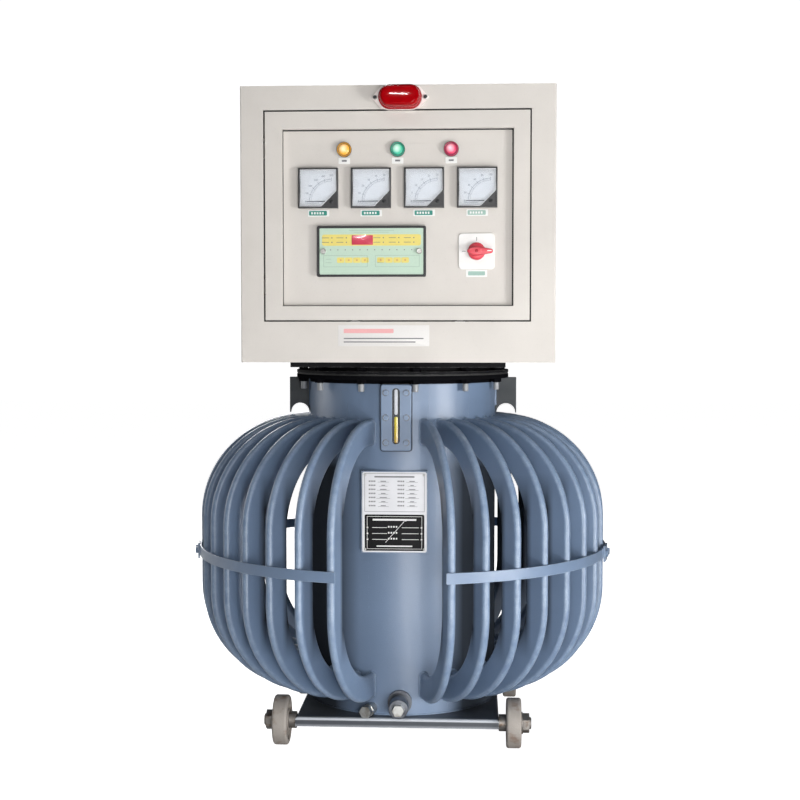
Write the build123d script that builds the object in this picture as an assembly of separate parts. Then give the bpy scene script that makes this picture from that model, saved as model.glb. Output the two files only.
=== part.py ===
from build123d import *
import os
from math import atan, cos, pi, radians, sin, sqrt, tan

# Oil-immersed induction voltage regulator with a control cabinet on top.
# Millimetres. The origin is on the floor under the tank's axis, the front faces -Y and +Z is up.

# ---- driving dimensions -------------------------------------------------------------------------
WHEEL_R = 50.0
WHEEL_WIDTH = 30.0
WHEEL_ROUND = 5.0
DISH_R, DISH_DEPTH, HUB_R = 39.0, 8.0, 21.0
WHEEL_X = 220.0  # inner face of each wheel
AXLE_Y = 200.0
JOURNAL_R = 12.5
THREAD_R = 12.0
THREAD_LENGTH = 20.0
AXLE_ROOT_R, AXLE_SHOULDER_R = 6.0, 17.0
AXLE_WASHER_R, AXLE_WASHER_T = 22.0, 3.0
AXLE_NUT_AF, AXLE_NUT_T = 36.0, 13.0
RUNNING_GAP = 0.05  # radial clearance of every running fit
PART_GAP = 0.5  # between faces that move past each other

CHASSIS_HALF_X = 205.0
CHASSIS_HALF_Y = 225.0
CHASSIS_TOP = 61.0
CHASSIS_DEPTH = 18.0
CHASSIS_PLATE = 5.0
CHASSIS_SIDE = 8.0
CHASSIS_ROUND = 5.0

TANK_R = 198.0
TANK_WALL = 3.0
TANK_FLOOR_T = 4.0
SEAT_WALL = 6.0
TANK_TOP = 742.0
FLANGE_R = 226.0
FLANGE_T = 8.0
BOLT_CIRCLE_R = 212.0
BOLT_COUNT = 12
BOLT_PHASE = 10.0  # degrees from the front
BOLT_R = 6.0
BOLT_AF = 19.0
BOLT_HEAD_T, BOLT_NUT_T, BOLT_REACH = 7.0, 8.0, 24.0
GASKET_T = 3.0
COVER_T = 6.0

TUBE_DEPTH = 52.0  # flat-oval section, along the radius
TUBE_WIDTH = 16.0
TUBE_SHEET = 1.5
TUBE_RUN_R = 403.0  # centre line of the upright run
TUBE_TOP = 636.0  # height at which a tube leaves the tank
TUBE_BOTTOM = 122.0
TUBE_START = 217.0  # where the straight stub turns into the bend
TUBE_FIRST = 15.5  # degrees from the front
TUBE_PITCH = 9.3125
TUBES_PER_SIDE = 18
TUBE_LEFT_OUT = 13  # place on the left side that has no tube, counted from 0
TUBE_STUB = 40.0  # length cut off inside the tank

BAND_T = 4.2
BAND_HEIGHT = 21.0
BAND_Z = 380.0
BAND_GAP = 0.1
BAND_END = 1.6  # degrees past the first tube on each side
BAND_JOINT = 0.2  # half the gap between two lengths, in degrees
SPLICE_ANGLE = 80.0
SPLICE_HALF, SPLICE_BOLT_OFFSET = 3.4, 2.1  # degrees
SPLICE_T = 4.0
SPLICE_BOLT_R, SPLICE_BOLT_AF = 4.0, 13.0

LUG_OUT = 243.0
LUG_BOTTOM = 666.0
LUG_T = 10.0
LUG_NOTCH_R = 20.0

CABINET_HALF_X = 315.0
CABINET_HALF_Y = 200.0
CABINET_Z0 = 777.0
CABINET_Z1 = 1328.0
SHEET = 2.0
SHAFT_HOLE_R = 60.0
PLINTH_RING_R = 200.5
PLINTH_RING_TOP = 767.0
PLINTH_HALF_X = 216.5
PLINTH_HALF_Y = 192.0

DOOR_X0, DOOR_X1 = -265.5, 263.5
DOOR_Z0, DOOR_Z1 = 861.5, 1277.0
DOOR_SEAM = 3.0
DOOR_RETURN = 20.0
WINDOW_HALF_X = 231.0
WINDOW_Z0, WINDOW_Z1 = 890.0, 1242.0
PANEL_DEPTH = 13.0  # from the door's front face to the instrument panel
PANEL_T = 3.0
FRONT_Y = -CABINET_HALF_Y
PANEL_Y = FRONT_Y + PANEL_DEPTH

HINGE_X, HINGE_Y = -282.0, -192.0
HINGE_HEIGHTS = (930.0, 1204.0)
HINGE_BARREL_R = 5.0
HINGE_PIN_R = 2.5
HINGE_ARM_Z = 29.0

METER_XS = (-159.0, -53.0, 53.0, 159.0)
METER_Z = 1125.5
METER_SIDE = 80.0
METER_WINDOW = 72.0
METER_CORNER = 30.0
METER_FRONT, METER_BACK = 12.0, 55.0  # before and behind the panel's front face
DIAL_FRONT, DIAL_BACK = 2.5, 1.5
NEEDLE_PIVOT = 26.0  # right of and below the meter's centre
NEEDLE_LENGTH = 49.0
STAFF_R = 1.0
STAFF_REACH = 11.0
LAMP_XS = (-107.0, 0.0, 107.0)
LAMP_Z = 1202.0
LAMP_R = 15.0
LENS_R = 11.0
CONTROLLER_X, CONTROLLER_Z = -52.0, 999.0
CONTROLLER_W, CONTROLLER_H = 218.0, 101.0
SWITCH_X, SWITCH_Z = 158.0, 999.0
SWITCH_SIDE = 72.0
KNOB_R = 17.5
KNOB_SHAFT_R = 4.0
SWITCH_PLATE_T = 3.0
LABEL_T = 1.0
LAMP_LABEL_Z, METER_LABEL_Z, SWITCH_LABEL_Z = 1180.0, 1076.0, 955.0

BEACON_X = 6.0
BEACON_SCREW = 50.0  # each side of the beacon's middle
BEACON_BASE_T, BEACON_LENS_T = 6.0, 32.0

GAUGE_X = -2.0
GAUGE_Z0, GAUGE_Z1 = 600.0, 733.5
GAUGE_HALF_X = 31.0
GAUGE_FRONT = -212.0
SLOT_WIDTH = 16.0
SLOT_Z0, SLOT_Z1 = 613.0, 726.0
NAMEPLATE_X = -5.5
NAMEPLATE_HALF_X = 67.0
NAMEPLATE_STAND = 5.0  # the bracket's front before the tank
NAMEPLATE_T = 1.5
NAMEPLATE_Z0, NAMEPLATE_Z1 = 393.0, 559.0
DRAIN_X, DRAIN_Z = 5.0, 89.0
DRAIN_BORE_R = 8.0
EARTH_ANGLE = -15.5
EARTH_Z = 74.0

STATOR_R, STATOR_BORE = 180.0, 120.0
STATOR_SLOTS, ROTOR_SLOTS = 24, 18
STATOR_HEAD, ROTOR_HEAD = 36.0, 30.0  # length of the winding heads
CORE_Z0, CORE_Z1 = 250.0, 560.0
ROTOR_R = 118.0
SHAFT_R = 20.0
SHAFT_Z0, SHAFT_Z1 = 95.0, 815.0
GEAR_MODULE = 2.5
GEAR_TEETH = 72
PINION_TEETH = 18
GEAR_Z0, GEAR_Z1 = 790.0, 805.0
PINION_SHAFT_R = 8.0
PINION_SHAFT_TOP = 850.0
MOTOR_FRONT, MOTOR_BACK = 76.0, 156.0
MOTOR_HALF_X, MOTOR_BOX_H, MOTOR_CAN_R, MOTOR_HEIGHT = 48.0, 70.0, 36.0, 175.0
BRIDGE_GAP, BRIDGE_T = 4.0, 6.0

EQUIPMENT_Y = 172.0
EQUIPMENT_Z0, EQUIPMENT_Z1 = 1040.0, 1275.0
EQUIPMENT_FLANGE = 20.0
CONTACTOR_Z0, CONTACTOR_Z1 = 1120.0, 1205.0
CONTACTORS = ((-140.0, 60.0, 70.0), (-60.0, 60.0, 70.0), (90.0, 100.0, 76.0))  # X, width, depth
CENTRE_DISTANCE = GEAR_MODULE * (GEAR_TEETH + PINION_TEETH) / 2
CABLE_ENTRY_R = 20.0
CABLE_ENTRY_XS = (-120.0, 120.0)
CABLE_ENTRY_Z = 850.0

HEX_CORNER = 2 / sqrt(3)  # corner radius of a hexagon per unit of half its width across flats


# ---- helpers ------------------------------------------------------------------------------------
def block(x0, x1, y0, y1, z0, z1):
    """A box between two corners."""
    box = Box(x1 - x0, y1 - y0, z1 - z0)
    return Pos((x0 + x1) / 2, (y0 + y1) / 2, (z0 + z1) / 2) * box


def rod_z(radius, z0, z1, x=0.0, y=0.0):
    """A cylinder along Z."""
    return Pos(x, y, (z0 + z1) / 2) * Cylinder(radius, z1 - z0)


def rod_y(radius, y0, y1, x=0.0, z=0.0):
    """A cylinder along Y."""
    return Pos(x, (y0 + y1) / 2, z) * Rot(90, 0, 0) * Cylinder(radius, y1 - y0)


def rod_x(radius, x0, x1, y=0.0, z=0.0):
    """A cylinder along X."""
    return Pos((x0 + x1) / 2, y, z) * Rot(0, 90, 0) * Cylinder(radius, x1 - x0)


def hexagon(across_flats, height):
    """A hexagonal prism along Z, standing on Z = 0."""
    return extrude(RegularPolygon(across_flats / 2 * HEX_CORNER, 6), height)


def front_plate(sketch, y0, y1):
    """A sketch drawn in X and Z, given depth from y0 back to y1."""
    plane = Plane(origin=(0, y1, 0), x_dir=(1, 0, 0), z_dir=(0, -1, 0))
    return extrude(plane * sketch, y1 - y0)


def at_front(angle, radius, z):
    """A place at an angle from the front, with its local Z pointing outwards."""
    turned = Rot(0, 0, angle) * Pos(0, -radius, z)
    return turned * Rot(90, 0, 0)


def group(solids):
    """Separate solids kept together as one node."""
    return Compound([part.solids()[0] for part in solids])


# ---- chassis and wheels -------------------------------------------------------------------------
def chassis():
    """A shallow welded tray, open below, with rounded top edges."""
    tray = block(
        -CHASSIS_HALF_X, CHASSIS_HALF_X, -CHASSIS_HALF_Y, CHASSIS_HALF_Y,
        CHASSIS_TOP - CHASSIS_DEPTH, CHASSIS_TOP,
    )
    tray = fillet(tray.edges().group_by(Axis.Z)[-1], CHASSIS_ROUND)
    inside_x = CHASSIS_HALF_X - CHASSIS_SIDE
    inside_y = CHASSIS_HALF_Y - CHASSIS_PLATE
    tray -= block(
        -inside_x, inside_x, -inside_y, inside_y,
        CHASSIS_TOP - CHASSIS_DEPTH, CHASSIS_TOP - CHASSIS_PLATE,
    )
    for y in (-AXLE_Y, AXLE_Y):
        tray -= rod_x(AXLE_ROOT_R, -CHASSIS_HALF_X, CHASSIS_HALF_X, y, WHEEL_R)
    return tray


def stub_axle():
    """A right-hand stub axle on X, welded through the chassis side."""
    shoulder_end = WHEEL_X - PART_GAP
    journal_end = WHEEL_X + WHEEL_WIDTH + PART_GAP
    axle = rod_x(AXLE_ROOT_R, CHASSIS_HALF_X - CHASSIS_SIDE, CHASSIS_HALF_X)
    axle += rod_x(AXLE_SHOULDER_R, CHASSIS_HALF_X, shoulder_end)
    axle += rod_x(JOURNAL_R, shoulder_end, journal_end)
    axle += rod_x(THREAD_R, journal_end, journal_end + THREAD_LENGTH)
    return chamfer(axle.edges().group_by(Axis.X)[-1], 1.5)


def axle_hardware():
    """The washer and nut of a right-hand stub axle."""
    start = WHEEL_X + WHEEL_WIDTH + PART_GAP
    seat = start + AXLE_WASHER_T
    bore = rod_x(THREAD_R, start - 1, start + 30)
    washer = rod_x(AXLE_WASHER_R, start, seat) - bore
    nut = Pos(seat, 0, 0) * Rot(0, 90, 0) * hexagon(AXLE_NUT_AF, AXLE_NUT_T)
    nut = nut & rod_x(AXLE_NUT_AF / 2 + 2, seat, seat + AXLE_NUT_T)
    return [washer, nut - bore]


def wheel_places():
    """Name, side and Y of each wheel."""
    return [
        ("wheel_front_left", -1, -AXLE_Y), ("wheel_front_right", 1, -AXLE_Y),
        ("wheel_rear_left", -1, AXLE_Y), ("wheel_rear_right", 1, AXLE_Y),
    ]


def place_wheel_part(shape, side, y):
    """Moves a right-hand part on the X axis to a wheel's place."""
    turned = shape if side > 0 else Rot(0, 0, 180) * shape
    return Pos(0, y, WHEEL_R) * turned


def wheel():
    """A right-hand cast wheel: rounded tread, dished web and a bored hub."""
    x0, x1 = WHEEL_X, WHEEL_X + WHEEL_WIDTH
    disc = rod_x(WHEEL_R, x0, x1)
    disc = fillet(disc.edges(), WHEEL_ROUND)
    for side_x in (x0, x1):
        dish = rod_x(DISH_R, side_x - DISH_DEPTH, side_x + DISH_DEPTH)
        disc -= dish - rod_x(HUB_R, side_x - DISH_DEPTH - 1, side_x + DISH_DEPTH + 1)
    return disc - rod_x(JOURNAL_R + RUNNING_GAP, x0 - 1, x1 + 1)


# ---- tank ---------------------------------------------------------------------------------------
def bolt_angles():
    return [BOLT_PHASE + i * 360 / BOLT_COUNT for i in range(BOLT_COUNT)]


def bolt_holes(z0, z1):
    """The bolt circle's clearance holes, as cutters."""
    one = rod_z(BOLT_R, z0, z1, 0, -BOLT_CIRCLE_R)
    return [Rot(0, 0, angle) * one for angle in bolt_angles()]


def tube_angles():
    places = [TUBE_FIRST + i * TUBE_PITCH for i in range(TUBES_PER_SIDE)]
    return places + [-angle for i, angle in enumerate(places) if i != TUBE_LEFT_OUT]


def tube_oval(shrink=0.0):
    """The flat-oval section of a cooling tube, drawn across a stub that points along +X."""
    plane = Plane(origin=(TANK_R - TUBE_STUB, 0, TUBE_TOP), x_dir=(0, 0, 1), z_dir=(1, 0, 0))
    return plane * SlotOverall(TUBE_DEPTH - 2 * shrink, TUBE_WIDTH - 2 * shrink)


def tank_shell():
    """The tank's plates: shell with bottom, top flange and the ring that carries the stator."""
    inside_r, floor = TANK_R - TANK_WALL, CHASSIS_TOP + TANK_FLOOR_T
    shell = rod_z(TANK_R, CHASSIS_TOP, TANK_TOP) - rod_z(inside_r, floor, TANK_TOP + 1)
    shell -= tube_ports()
    flange = rod_z(FLANGE_R, TANK_TOP, TANK_TOP + FLANGE_T)
    flange -= rod_z(inside_r, TANK_TOP - 1, TANK_TOP + FLANGE_T + 1)
    flange -= bolt_holes(TANK_TOP - 1, TANK_TOP + FLANGE_T + 1)
    seat = rod_z(STATOR_R, floor, CORE_Z0) - rod_z(STATOR_R - SEAT_WALL, floor - 1, CORE_Z0 + 1)
    return group([shell, flange, seat])


def tube_ports():
    """Cutters for the oval ports where the tubes open into the tank."""
    slot = extrude(tube_oval(TUBE_SHEET), TUBE_STUB + 20)
    lower = Pos(0, 0, TUBE_BOTTOM - TUBE_TOP) * slot
    return [Rot(0, 0, angle - 90) * cut for angle in tube_angles() for cut in (slot, lower)]


def cooling_tubes():
    """C-shaped flat-oval tubes, open at both ends into the tank."""
    bend = TUBE_RUN_R - TUBE_START
    upper, lower = TUBE_TOP - bend, TUBE_BOTTOM + bend
    half = bend * sin(pi / 4)
    path = Wire([
        Line((TANK_R - TUBE_STUB, 0, TUBE_TOP), (TUBE_START, 0, TUBE_TOP)),
        ThreePointArc(
            (TUBE_START, 0, TUBE_TOP), (TUBE_START + half, 0, upper + half),
            (TUBE_RUN_R, 0, upper),
        ),
        Line((TUBE_RUN_R, 0, upper), (TUBE_RUN_R, 0, lower)),
        ThreePointArc(
            (TUBE_RUN_R, 0, lower), (TUBE_START + half, 0, lower - half),
            (TUBE_START, 0, TUBE_BOTTOM),
        ),
        Line((TUBE_START, 0, TUBE_BOTTOM), (TANK_R - TUBE_STUB, 0, TUBE_BOTTOM)),
    ])
    tube = sweep(tube_oval(), path=path) - sweep(tube_oval(TUBE_SHEET), path=path)
    tube -= rod_z(TANK_R, 0, TANK_TOP)
    return group([Rot(0, 0, angle - 90) * tube for angle in tube_angles()])


def ring_sector(r0, r1, z0, z1, a0, a1):
    """Part of a ring between two angles from the front."""
    sketch = make_face([
        Line((r0, 0), (r1, 0)), Line((r1, 0), (r1, z1 - z0)),
        Line((r1, z1 - z0), (r0, z1 - z0)), Line((r0, z1 - z0), (r0, 0)),
    ])
    plane = Plane(origin=(0, 0, z0), x_dir=(1, 0, 0), z_dir=(0, -1, 0))
    return Rot(0, 0, a0 - 90) * revolve(plane * sketch, Axis.Z, a1 - a0)


def band_radii():
    inner = TUBE_RUN_R + TUBE_DEPTH / 2 + BAND_GAP
    return inner, inner + BAND_T


def tube_band():
    """The flat band round the tubes, in three lengths, open at the front."""
    inner, outer = band_radii()
    z0, z1 = BAND_Z - BAND_HEIGHT / 2, BAND_Z + BAND_HEIGHT / 2
    front, before, after = TUBE_FIRST - BAND_END, SPLICE_ANGLE - BAND_JOINT, SPLICE_ANGLE + BAND_JOINT
    spans = [(front, before), (after, 360 - after), (360 - before, 360 - front)]
    return group([ring_sector(inner, outer, z0, z1, a, b) for a, b in spans])


def band_clamps():
    """A splice plate and two bolts over each joint of the band."""
    outer = band_radii()[1]
    z0, z1 = BAND_Z - 18, BAND_Z + 15
    pieces = []
    for angle in (SPLICE_ANGLE, 360 - SPLICE_ANGLE):
        plate = ring_sector(outer, outer + SPLICE_T, z0, z1, angle - SPLICE_HALF, angle + SPLICE_HALF)
        for offset in (-SPLICE_BOLT_OFFSET, SPLICE_BOLT_OFFSET):
            place = at_front(angle + offset, outer + SPLICE_T / 2, BAND_Z - 1)
            plate -= place * Pos(0, 0, -6) * Cylinder(SPLICE_BOLT_R, 20)
            shank = place * Pos(0, 0, -0.4) * Cylinder(SPLICE_BOLT_R, 3.2)
            head = place * Pos(0, 0, 1.2) * hexagon(SPLICE_BOLT_AF, 6)
            trim = rod_z(outer + SPLICE_T, z0, z1)
            pieces.append((head - trim) + (shank & trim))
        pieces.append(plate)
    return group(pieces)


def lifting_lugs():
    """A plate on each side of the tank, notched below for a sling."""
    plate = block(TANK_R - 10, LUG_OUT, -LUG_T / 2, LUG_T / 2, LUG_BOTTOM, TANK_TOP)
    notch_x = LUG_OUT - 2 - LUG_NOTCH_R
    plate -= rod_y(LUG_NOTCH_R, -LUG_T, LUG_T, notch_x, LUG_BOTTOM)
    plate -= rod_z(TANK_R, 0, TANK_TOP + 1)
    plate = max(plate.solids(), key=lambda solid: solid.volume)
    return group([plate, Rot(0, 0, 180) * plate])


def gauge_slot(shrink=0.0):
    """The oil gauge's window outline in X and Z."""
    length = SLOT_Z1 - SLOT_Z0 - 2 * shrink
    slot = Rot(0, 0, 90) * SlotOverall(length, SLOT_WIDTH - 2 * shrink)
    return Pos(GAUGE_X, (SLOT_Z0 + SLOT_Z1) / 2) * slot


def gauge_bolt_places():
    mid = (GAUGE_Z0 + GAUGE_Z1) / 2
    return [(GAUGE_X + dx, mid + dz) for dx in (-20, 20) for dz in (-50, 0, 50)]


def oil_gauge_frame():
    """The gauge's cast frame, shaped to the tank wall behind it."""
    mid = (GAUGE_Z0 + GAUGE_Z1) / 2
    outline = RectangleRounded(2 * GAUGE_HALF_X, GAUGE_Z1 - GAUGE_Z0, 5)
    frame = front_plate(Pos(GAUGE_X, mid) * outline, GAUGE_FRONT, -TANK_R + 6)
    frame = fillet(frame.edges().group_by(Axis.Y)[0], 2.5)
    frame -= rod_z(TANK_R, GAUGE_Z0 - 5, GAUGE_Z1 + 5)
    frame -= front_plate(gauge_slot(), GAUGE_FRONT - 1, GAUGE_FRONT + 10)
    for x, z in gauge_bolt_places():
        frame -= rod_y(3, GAUGE_FRONT - 1, GAUGE_FRONT + 8, x, z)
    return frame


def oil_gauge_glass():
    return front_plate(gauge_slot(), GAUGE_FRONT + 2.5, GAUGE_FRONT + 6.5)


def gauge_bolts():
    """Six hexagon screws that hold the gauge's glass."""
    bolts = []
    for x, z in gauge_bolt_places():
        head = Pos(x, GAUGE_FRONT, z) * Rot(90, 0, 0) * hexagon(10, 4)
        head = chamfer(head.edges().group_by(Axis.Y)[0], 0.8)
        bolts.append(head + rod_y(3, GAUGE_FRONT, GAUGE_FRONT + 8, x, z))
    return group(bolts)


def nameplate_bracket():
    """A shallow folded bracket that gives the curved tank a flat front."""
    x0, x1 = NAMEPLATE_X - NAMEPLATE_HALF_X, NAMEPLATE_X + NAMEPLATE_HALF_X
    z0, z1 = NAMEPLATE_Z0, NAMEPLATE_Z1
    front, back = -TANK_R - NAMEPLATE_STAND, -TANK_R + 20
    bracket = block(x0, x1, front, back, z0, z1)
    bracket -= block(x0 + SHEET, x1 - SHEET, front + SHEET, back + 1, z0 - 1, z1 + 1)
    return bracket - rod_z(TANK_R, z0 - 5, z1 + 5)


def nameplate():
    """The rating plate on its bracket."""
    border, corner = 2.0, 4.0
    back = -TANK_R - NAMEPLATE_STAND
    mid = (NAMEPLATE_Z0 + NAMEPLATE_Z1) / 2
    width = 2 * (NAMEPLATE_HALF_X - border)
    height = NAMEPLATE_Z1 - NAMEPLATE_Z0 - 2 * border
    outline = Pos(NAMEPLATE_X, mid) * RectangleRounded(width, height, corner)
    return front_plate(outline, back - NAMEPLATE_T, back)


def earth_terminal():
    """A welded boss, a washer and a hexagon bolt for the earth lead."""
    place = at_front(EARTH_ANGLE, TANK_R, EARTH_Z)
    boss = place * Pos(0, 0, 6) * Cylinder(12, 32) - rod_z(TANK_R, 0, 200)
    boss -= place * Pos(0, 0, 14) * Cylinder(6, 16)
    washer = place * Pos(0, 0, 23.25) * (Cylinder(12.5, 2.5) - Cylinder(6, 4))
    head = place * Pos(0, 0, 24.5) * hexagon(22, 15)
    shank = place * Pos(0, 0, 15.25) * Cylinder(6, 18.5)
    return group([boss, washer, head + shank])


def drain_valve():
    """The drain: a ring welded to the tank, a waist and a bored outlet."""
    ring_r, waist_r, outlet_r = 24.5, 16.0, 19.5
    valve = rod_y(ring_r, -TANK_R - 8, -TANK_R + 20, DRAIN_X, DRAIN_Z)
    valve += rod_y(waist_r, -TANK_R - 26, -TANK_R, DRAIN_X, DRAIN_Z)
    outlet = rod_y(outlet_r, -TANK_R - 60, -TANK_R - 24, DRAIN_X, DRAIN_Z)
    valve += fillet(outlet.edges(), 2)
    valve -= rod_z(TANK_R, 0, 200)
    return valve - rod_y(DRAIN_BORE_R, -TANK_R - 61, -TANK_R - 40, DRAIN_X, DRAIN_Z)


def drain_plug():
    """The hexagon plug of the drain."""
    face = -TANK_R - 60
    head = Pos(DRAIN_X, face, DRAIN_Z) * Rot(90, 0, 0) * hexagon(22, 13)
    head = chamfer(head.edges().group_by(Axis.Y)[0], 1)
    return head + rod_y(DRAIN_BORE_R, face, face + 20, DRAIN_X, DRAIN_Z)


# ---- cover and its fasteners --------------------------------------------------------------------
def cover_gasket():
    z0 = TANK_TOP + FLANGE_T
    ring = rod_z(FLANGE_R - 1, z0, z0 + GASKET_T) - rod_z(TANK_R - 4, z0 - 1, z0 + GASKET_T + 1)
    return ring - bolt_holes(z0 - 1, z0 + GASKET_T + 1)


def cover_z():
    z0 = TANK_TOP + FLANGE_T + GASKET_T
    return z0, z0 + COVER_T


def tank_cover():
    z0, z1 = cover_z()
    cover = rod_z(FLANGE_R, z0, z1) - rod_z(SHAFT_R + 8, z0 - 1, z1 + 1)
    return cover - bolt_holes(z0 - 1, z1 + 1)


def cover_bolts():
    """Hexagon bolts down through the cover and flange, each with a nut below."""
    z1 = cover_z()[1]
    nut_top = TANK_TOP
    shank = rod_z(BOLT_R, nut_top - BOLT_REACH, z1)
    bolt = Pos(0, 0, z1) * hexagon(BOLT_AF, BOLT_HEAD_T) + shank
    bolt = chamfer(bolt.edges().group_by(Axis.Z)[0], 1)
    nut = hexagon(BOLT_AF, BOLT_NUT_T) - Cylinder(BOLT_R, 30)
    nut = Pos(0, 0, nut_top - BOLT_NUT_T) * nut
    pieces = []
    for angle in bolt_angles():
        place = Rot(0, 0, angle) * Pos(0, -BOLT_CIRCLE_R, 0)
        pieces += [place * bolt, place * nut]
    return group(pieces)


# ---- cabinet ------------------------------------------------------------------------------------
def cabinet_plinth():
    """A ring on the cover inside the bolt heads, under the plate that carries the cabinet."""
    ring = rod_z(PLINTH_RING_R, cover_z()[1], PLINTH_RING_TOP)
    plate = block(
        -PLINTH_HALF_X, PLINTH_HALF_X, -PLINTH_HALF_Y, PLINTH_HALF_Y,
        PLINTH_RING_TOP, CABINET_Z0,
    )
    plinth = ring - rod_z(PLINTH_RING_R - 25, 0, PLINTH_RING_TOP) + plate
    return plinth - rod_z(SHAFT_HOLE_R, 0, CABINET_Z0 + 1)


def back_screw_places():
    """X and Z of the back cover's screws."""
    left_right = [(x, z) for x in (-290, 290) for z in (806, 970, 1135, 1299)]
    return left_right + [(0, 802), (0, 1303)]


def beacon_screw_places():
    z = (DOOR_Z1 + CABINET_Z1) / 2
    return [(BEACON_X - BEACON_SCREW, z), (BEACON_X + BEACON_SCREW, z)]


def cabinet_shell():
    """The folded sheet case, open at the door and behind the back cover."""
    x, y, z0, z1 = CABINET_HALF_X, CABINET_HALF_Y, CABINET_Z0, CABINET_Z1
    case = block(-x, x, -y, y, z0, z1)
    case = fillet(case.edges().filter_by(Axis.Z), 3)
    case -= block(-x + SHEET, x - SHEET, -y + SHEET, y - SHEET, z0 + SHEET, z1 - SHEET)
    case -= block(
        DOOR_X0 - DOOR_SEAM, DOOR_X1 + DOOR_SEAM, -y - 1, -y + SHEET + 1,
        DOOR_Z0 - DOOR_SEAM, DOOR_Z1 + DOOR_SEAM,
    )
    case -= block(-x + 30, x - 30, y - SHEET - 1, y + 1, z0 + 30, z1 - 30)
    case -= rod_z(SHAFT_HOLE_R, z0 - 1, z0 + SHEET + 1)
    for sx, sz in back_screw_places():
        case -= rod_y(2.5, y - SHEET - 1, y + 1, sx, sz)
    for sx, sz in beacon_screw_places():
        case -= rod_y(2.5, -y - 1, -y + SHEET + 1, sx, sz)
    return case


def back_cover():
    """The screwed rear cover, with two cable entries."""
    x, y = CABINET_HALF_X - 18, CABINET_HALF_Y
    cover = block(-x, x, y, y + SHEET, CABINET_Z0 + 18, CABINET_Z1 - 18)
    for sx, sz in back_screw_places():
        cover -= rod_y(2.5, y - 1, y + SHEET + 1, sx, sz)
    for ex in CABLE_ENTRY_XS:
        cover -= rod_y(CABLE_ENTRY_R, y - 1, y + SHEET + 1, ex, CABLE_ENTRY_Z)
    return cover


def case_screws():
    """Pan-head screws of the back cover and of the beacon."""
    y = CABINET_HALF_Y
    screws = []
    for sx, sz in back_screw_places():
        head = rod_y(5, y + SHEET, y + SHEET + 3, sx, sz)
        head = fillet(head.edges().group_by(Axis.Y)[-1], 1.5)
        screws.append(head + rod_y(2.5, y - SHEET, y + SHEET, sx, sz))
    for sx, sz in beacon_screw_places():
        head = rod_y(4.5, -y - 9, -y - 6, sx, sz)
        head = fillet(head.edges().group_by(Axis.Y)[0], 1.5)
        screws.append(head + rod_y(2.5, -y - 6, -y + SHEET, sx, sz))
    return group(screws)


def hinge_brackets():
    """Two welded hinge brackets behind the left border, each with its pin."""
    pieces = []
    left = -CABINET_HALF_X + SHEET
    half = HINGE_ARM_Z / 2 + PART_GAP
    for z in HINGE_HEIGHTS:
        body = block(left, HINGE_X + 5, FRONT_Y + SHEET, HINGE_Y + 6, z - half - 4, z + half + 4)
        body -= block(left + 14, HINGE_X + 6, FRONT_Y, HINGE_Y + 7, z - half, z + half)
        body -= rod_z(HINGE_PIN_R, z - 40, z + 40, HINGE_X, HINGE_Y)
        pin = rod_z(HINGE_PIN_R, z - half - 6, z + half + 6, HINGE_X, HINGE_Y)
        pieces += [body, pin]
    return group(pieces)


# ---- beacon -------------------------------------------------------------------------------------
def beacon_place():
    return BEACON_X, (DOOR_Z1 + CABINET_Z1) / 2


def beacon_base():
    """A base plate with a pointed ear on each side."""
    x, z = beacon_place()
    ears = Polygon((-57, 0), (-38, -22), (38, -22), (57, 0), (38, 22), (-38, 22))
    outline = ears + SlotOverall(92, 50)
    plate = front_plate(Pos(x, z) * outline, FRONT_Y - BEACON_BASE_T, FRONT_Y)
    for sx, sz in beacon_screw_places():
        plate -= rod_y(2.5, FRONT_Y - BEACON_BASE_T - 1, FRONT_Y + 1, sx, sz)
    return plate


def beacon_lens():
    """The hollow domed lens."""
    x, z = beacon_place()
    width, height, round_r, wall = 86.0, 48.0, 22.0, 3.0
    back = FRONT_Y - BEACON_BASE_T
    outline = RectangleRounded(width, height, round_r)
    lens = front_plate(Pos(x, z) * outline, back - BEACON_LENS_T, back)
    lens = fillet(lens.edges().group_by(Axis.Y)[0], 10)
    outline = RectangleRounded(width - 2 * wall, height - 2 * wall, round_r - wall)
    inner = front_plate(Pos(x, z) * outline, back - BEACON_LENS_T + wall, back)
    return lens - fillet(inner.edges().group_by(Axis.Y)[0], 8)


# ---- door ---------------------------------------------------------------------------------------
def door_frame():
    """The door: a folded sheet frame round the recessed instrument panel."""
    door = block(DOOR_X0, DOOR_X1, FRONT_Y, FRONT_Y + DOOR_RETURN, DOOR_Z0, DOOR_Z1)
    door -= block(
        DOOR_X0 + SHEET, DOOR_X1 - SHEET, FRONT_Y + SHEET, FRONT_Y + DOOR_RETURN,
        DOOR_Z0 + SHEET, DOOR_Z1 - SHEET,
    )
    w = WINDOW_HALF_X
    door += block(
        -w - SHEET, w + SHEET, FRONT_Y + SHEET / 2, PANEL_Y,
        WINDOW_Z0 - SHEET, WINDOW_Z1 + SHEET,
    )
    return door - block(-w, w, FRONT_Y - 1, PANEL_Y + 1, WINDOW_Z0, WINDOW_Z1)


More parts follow.
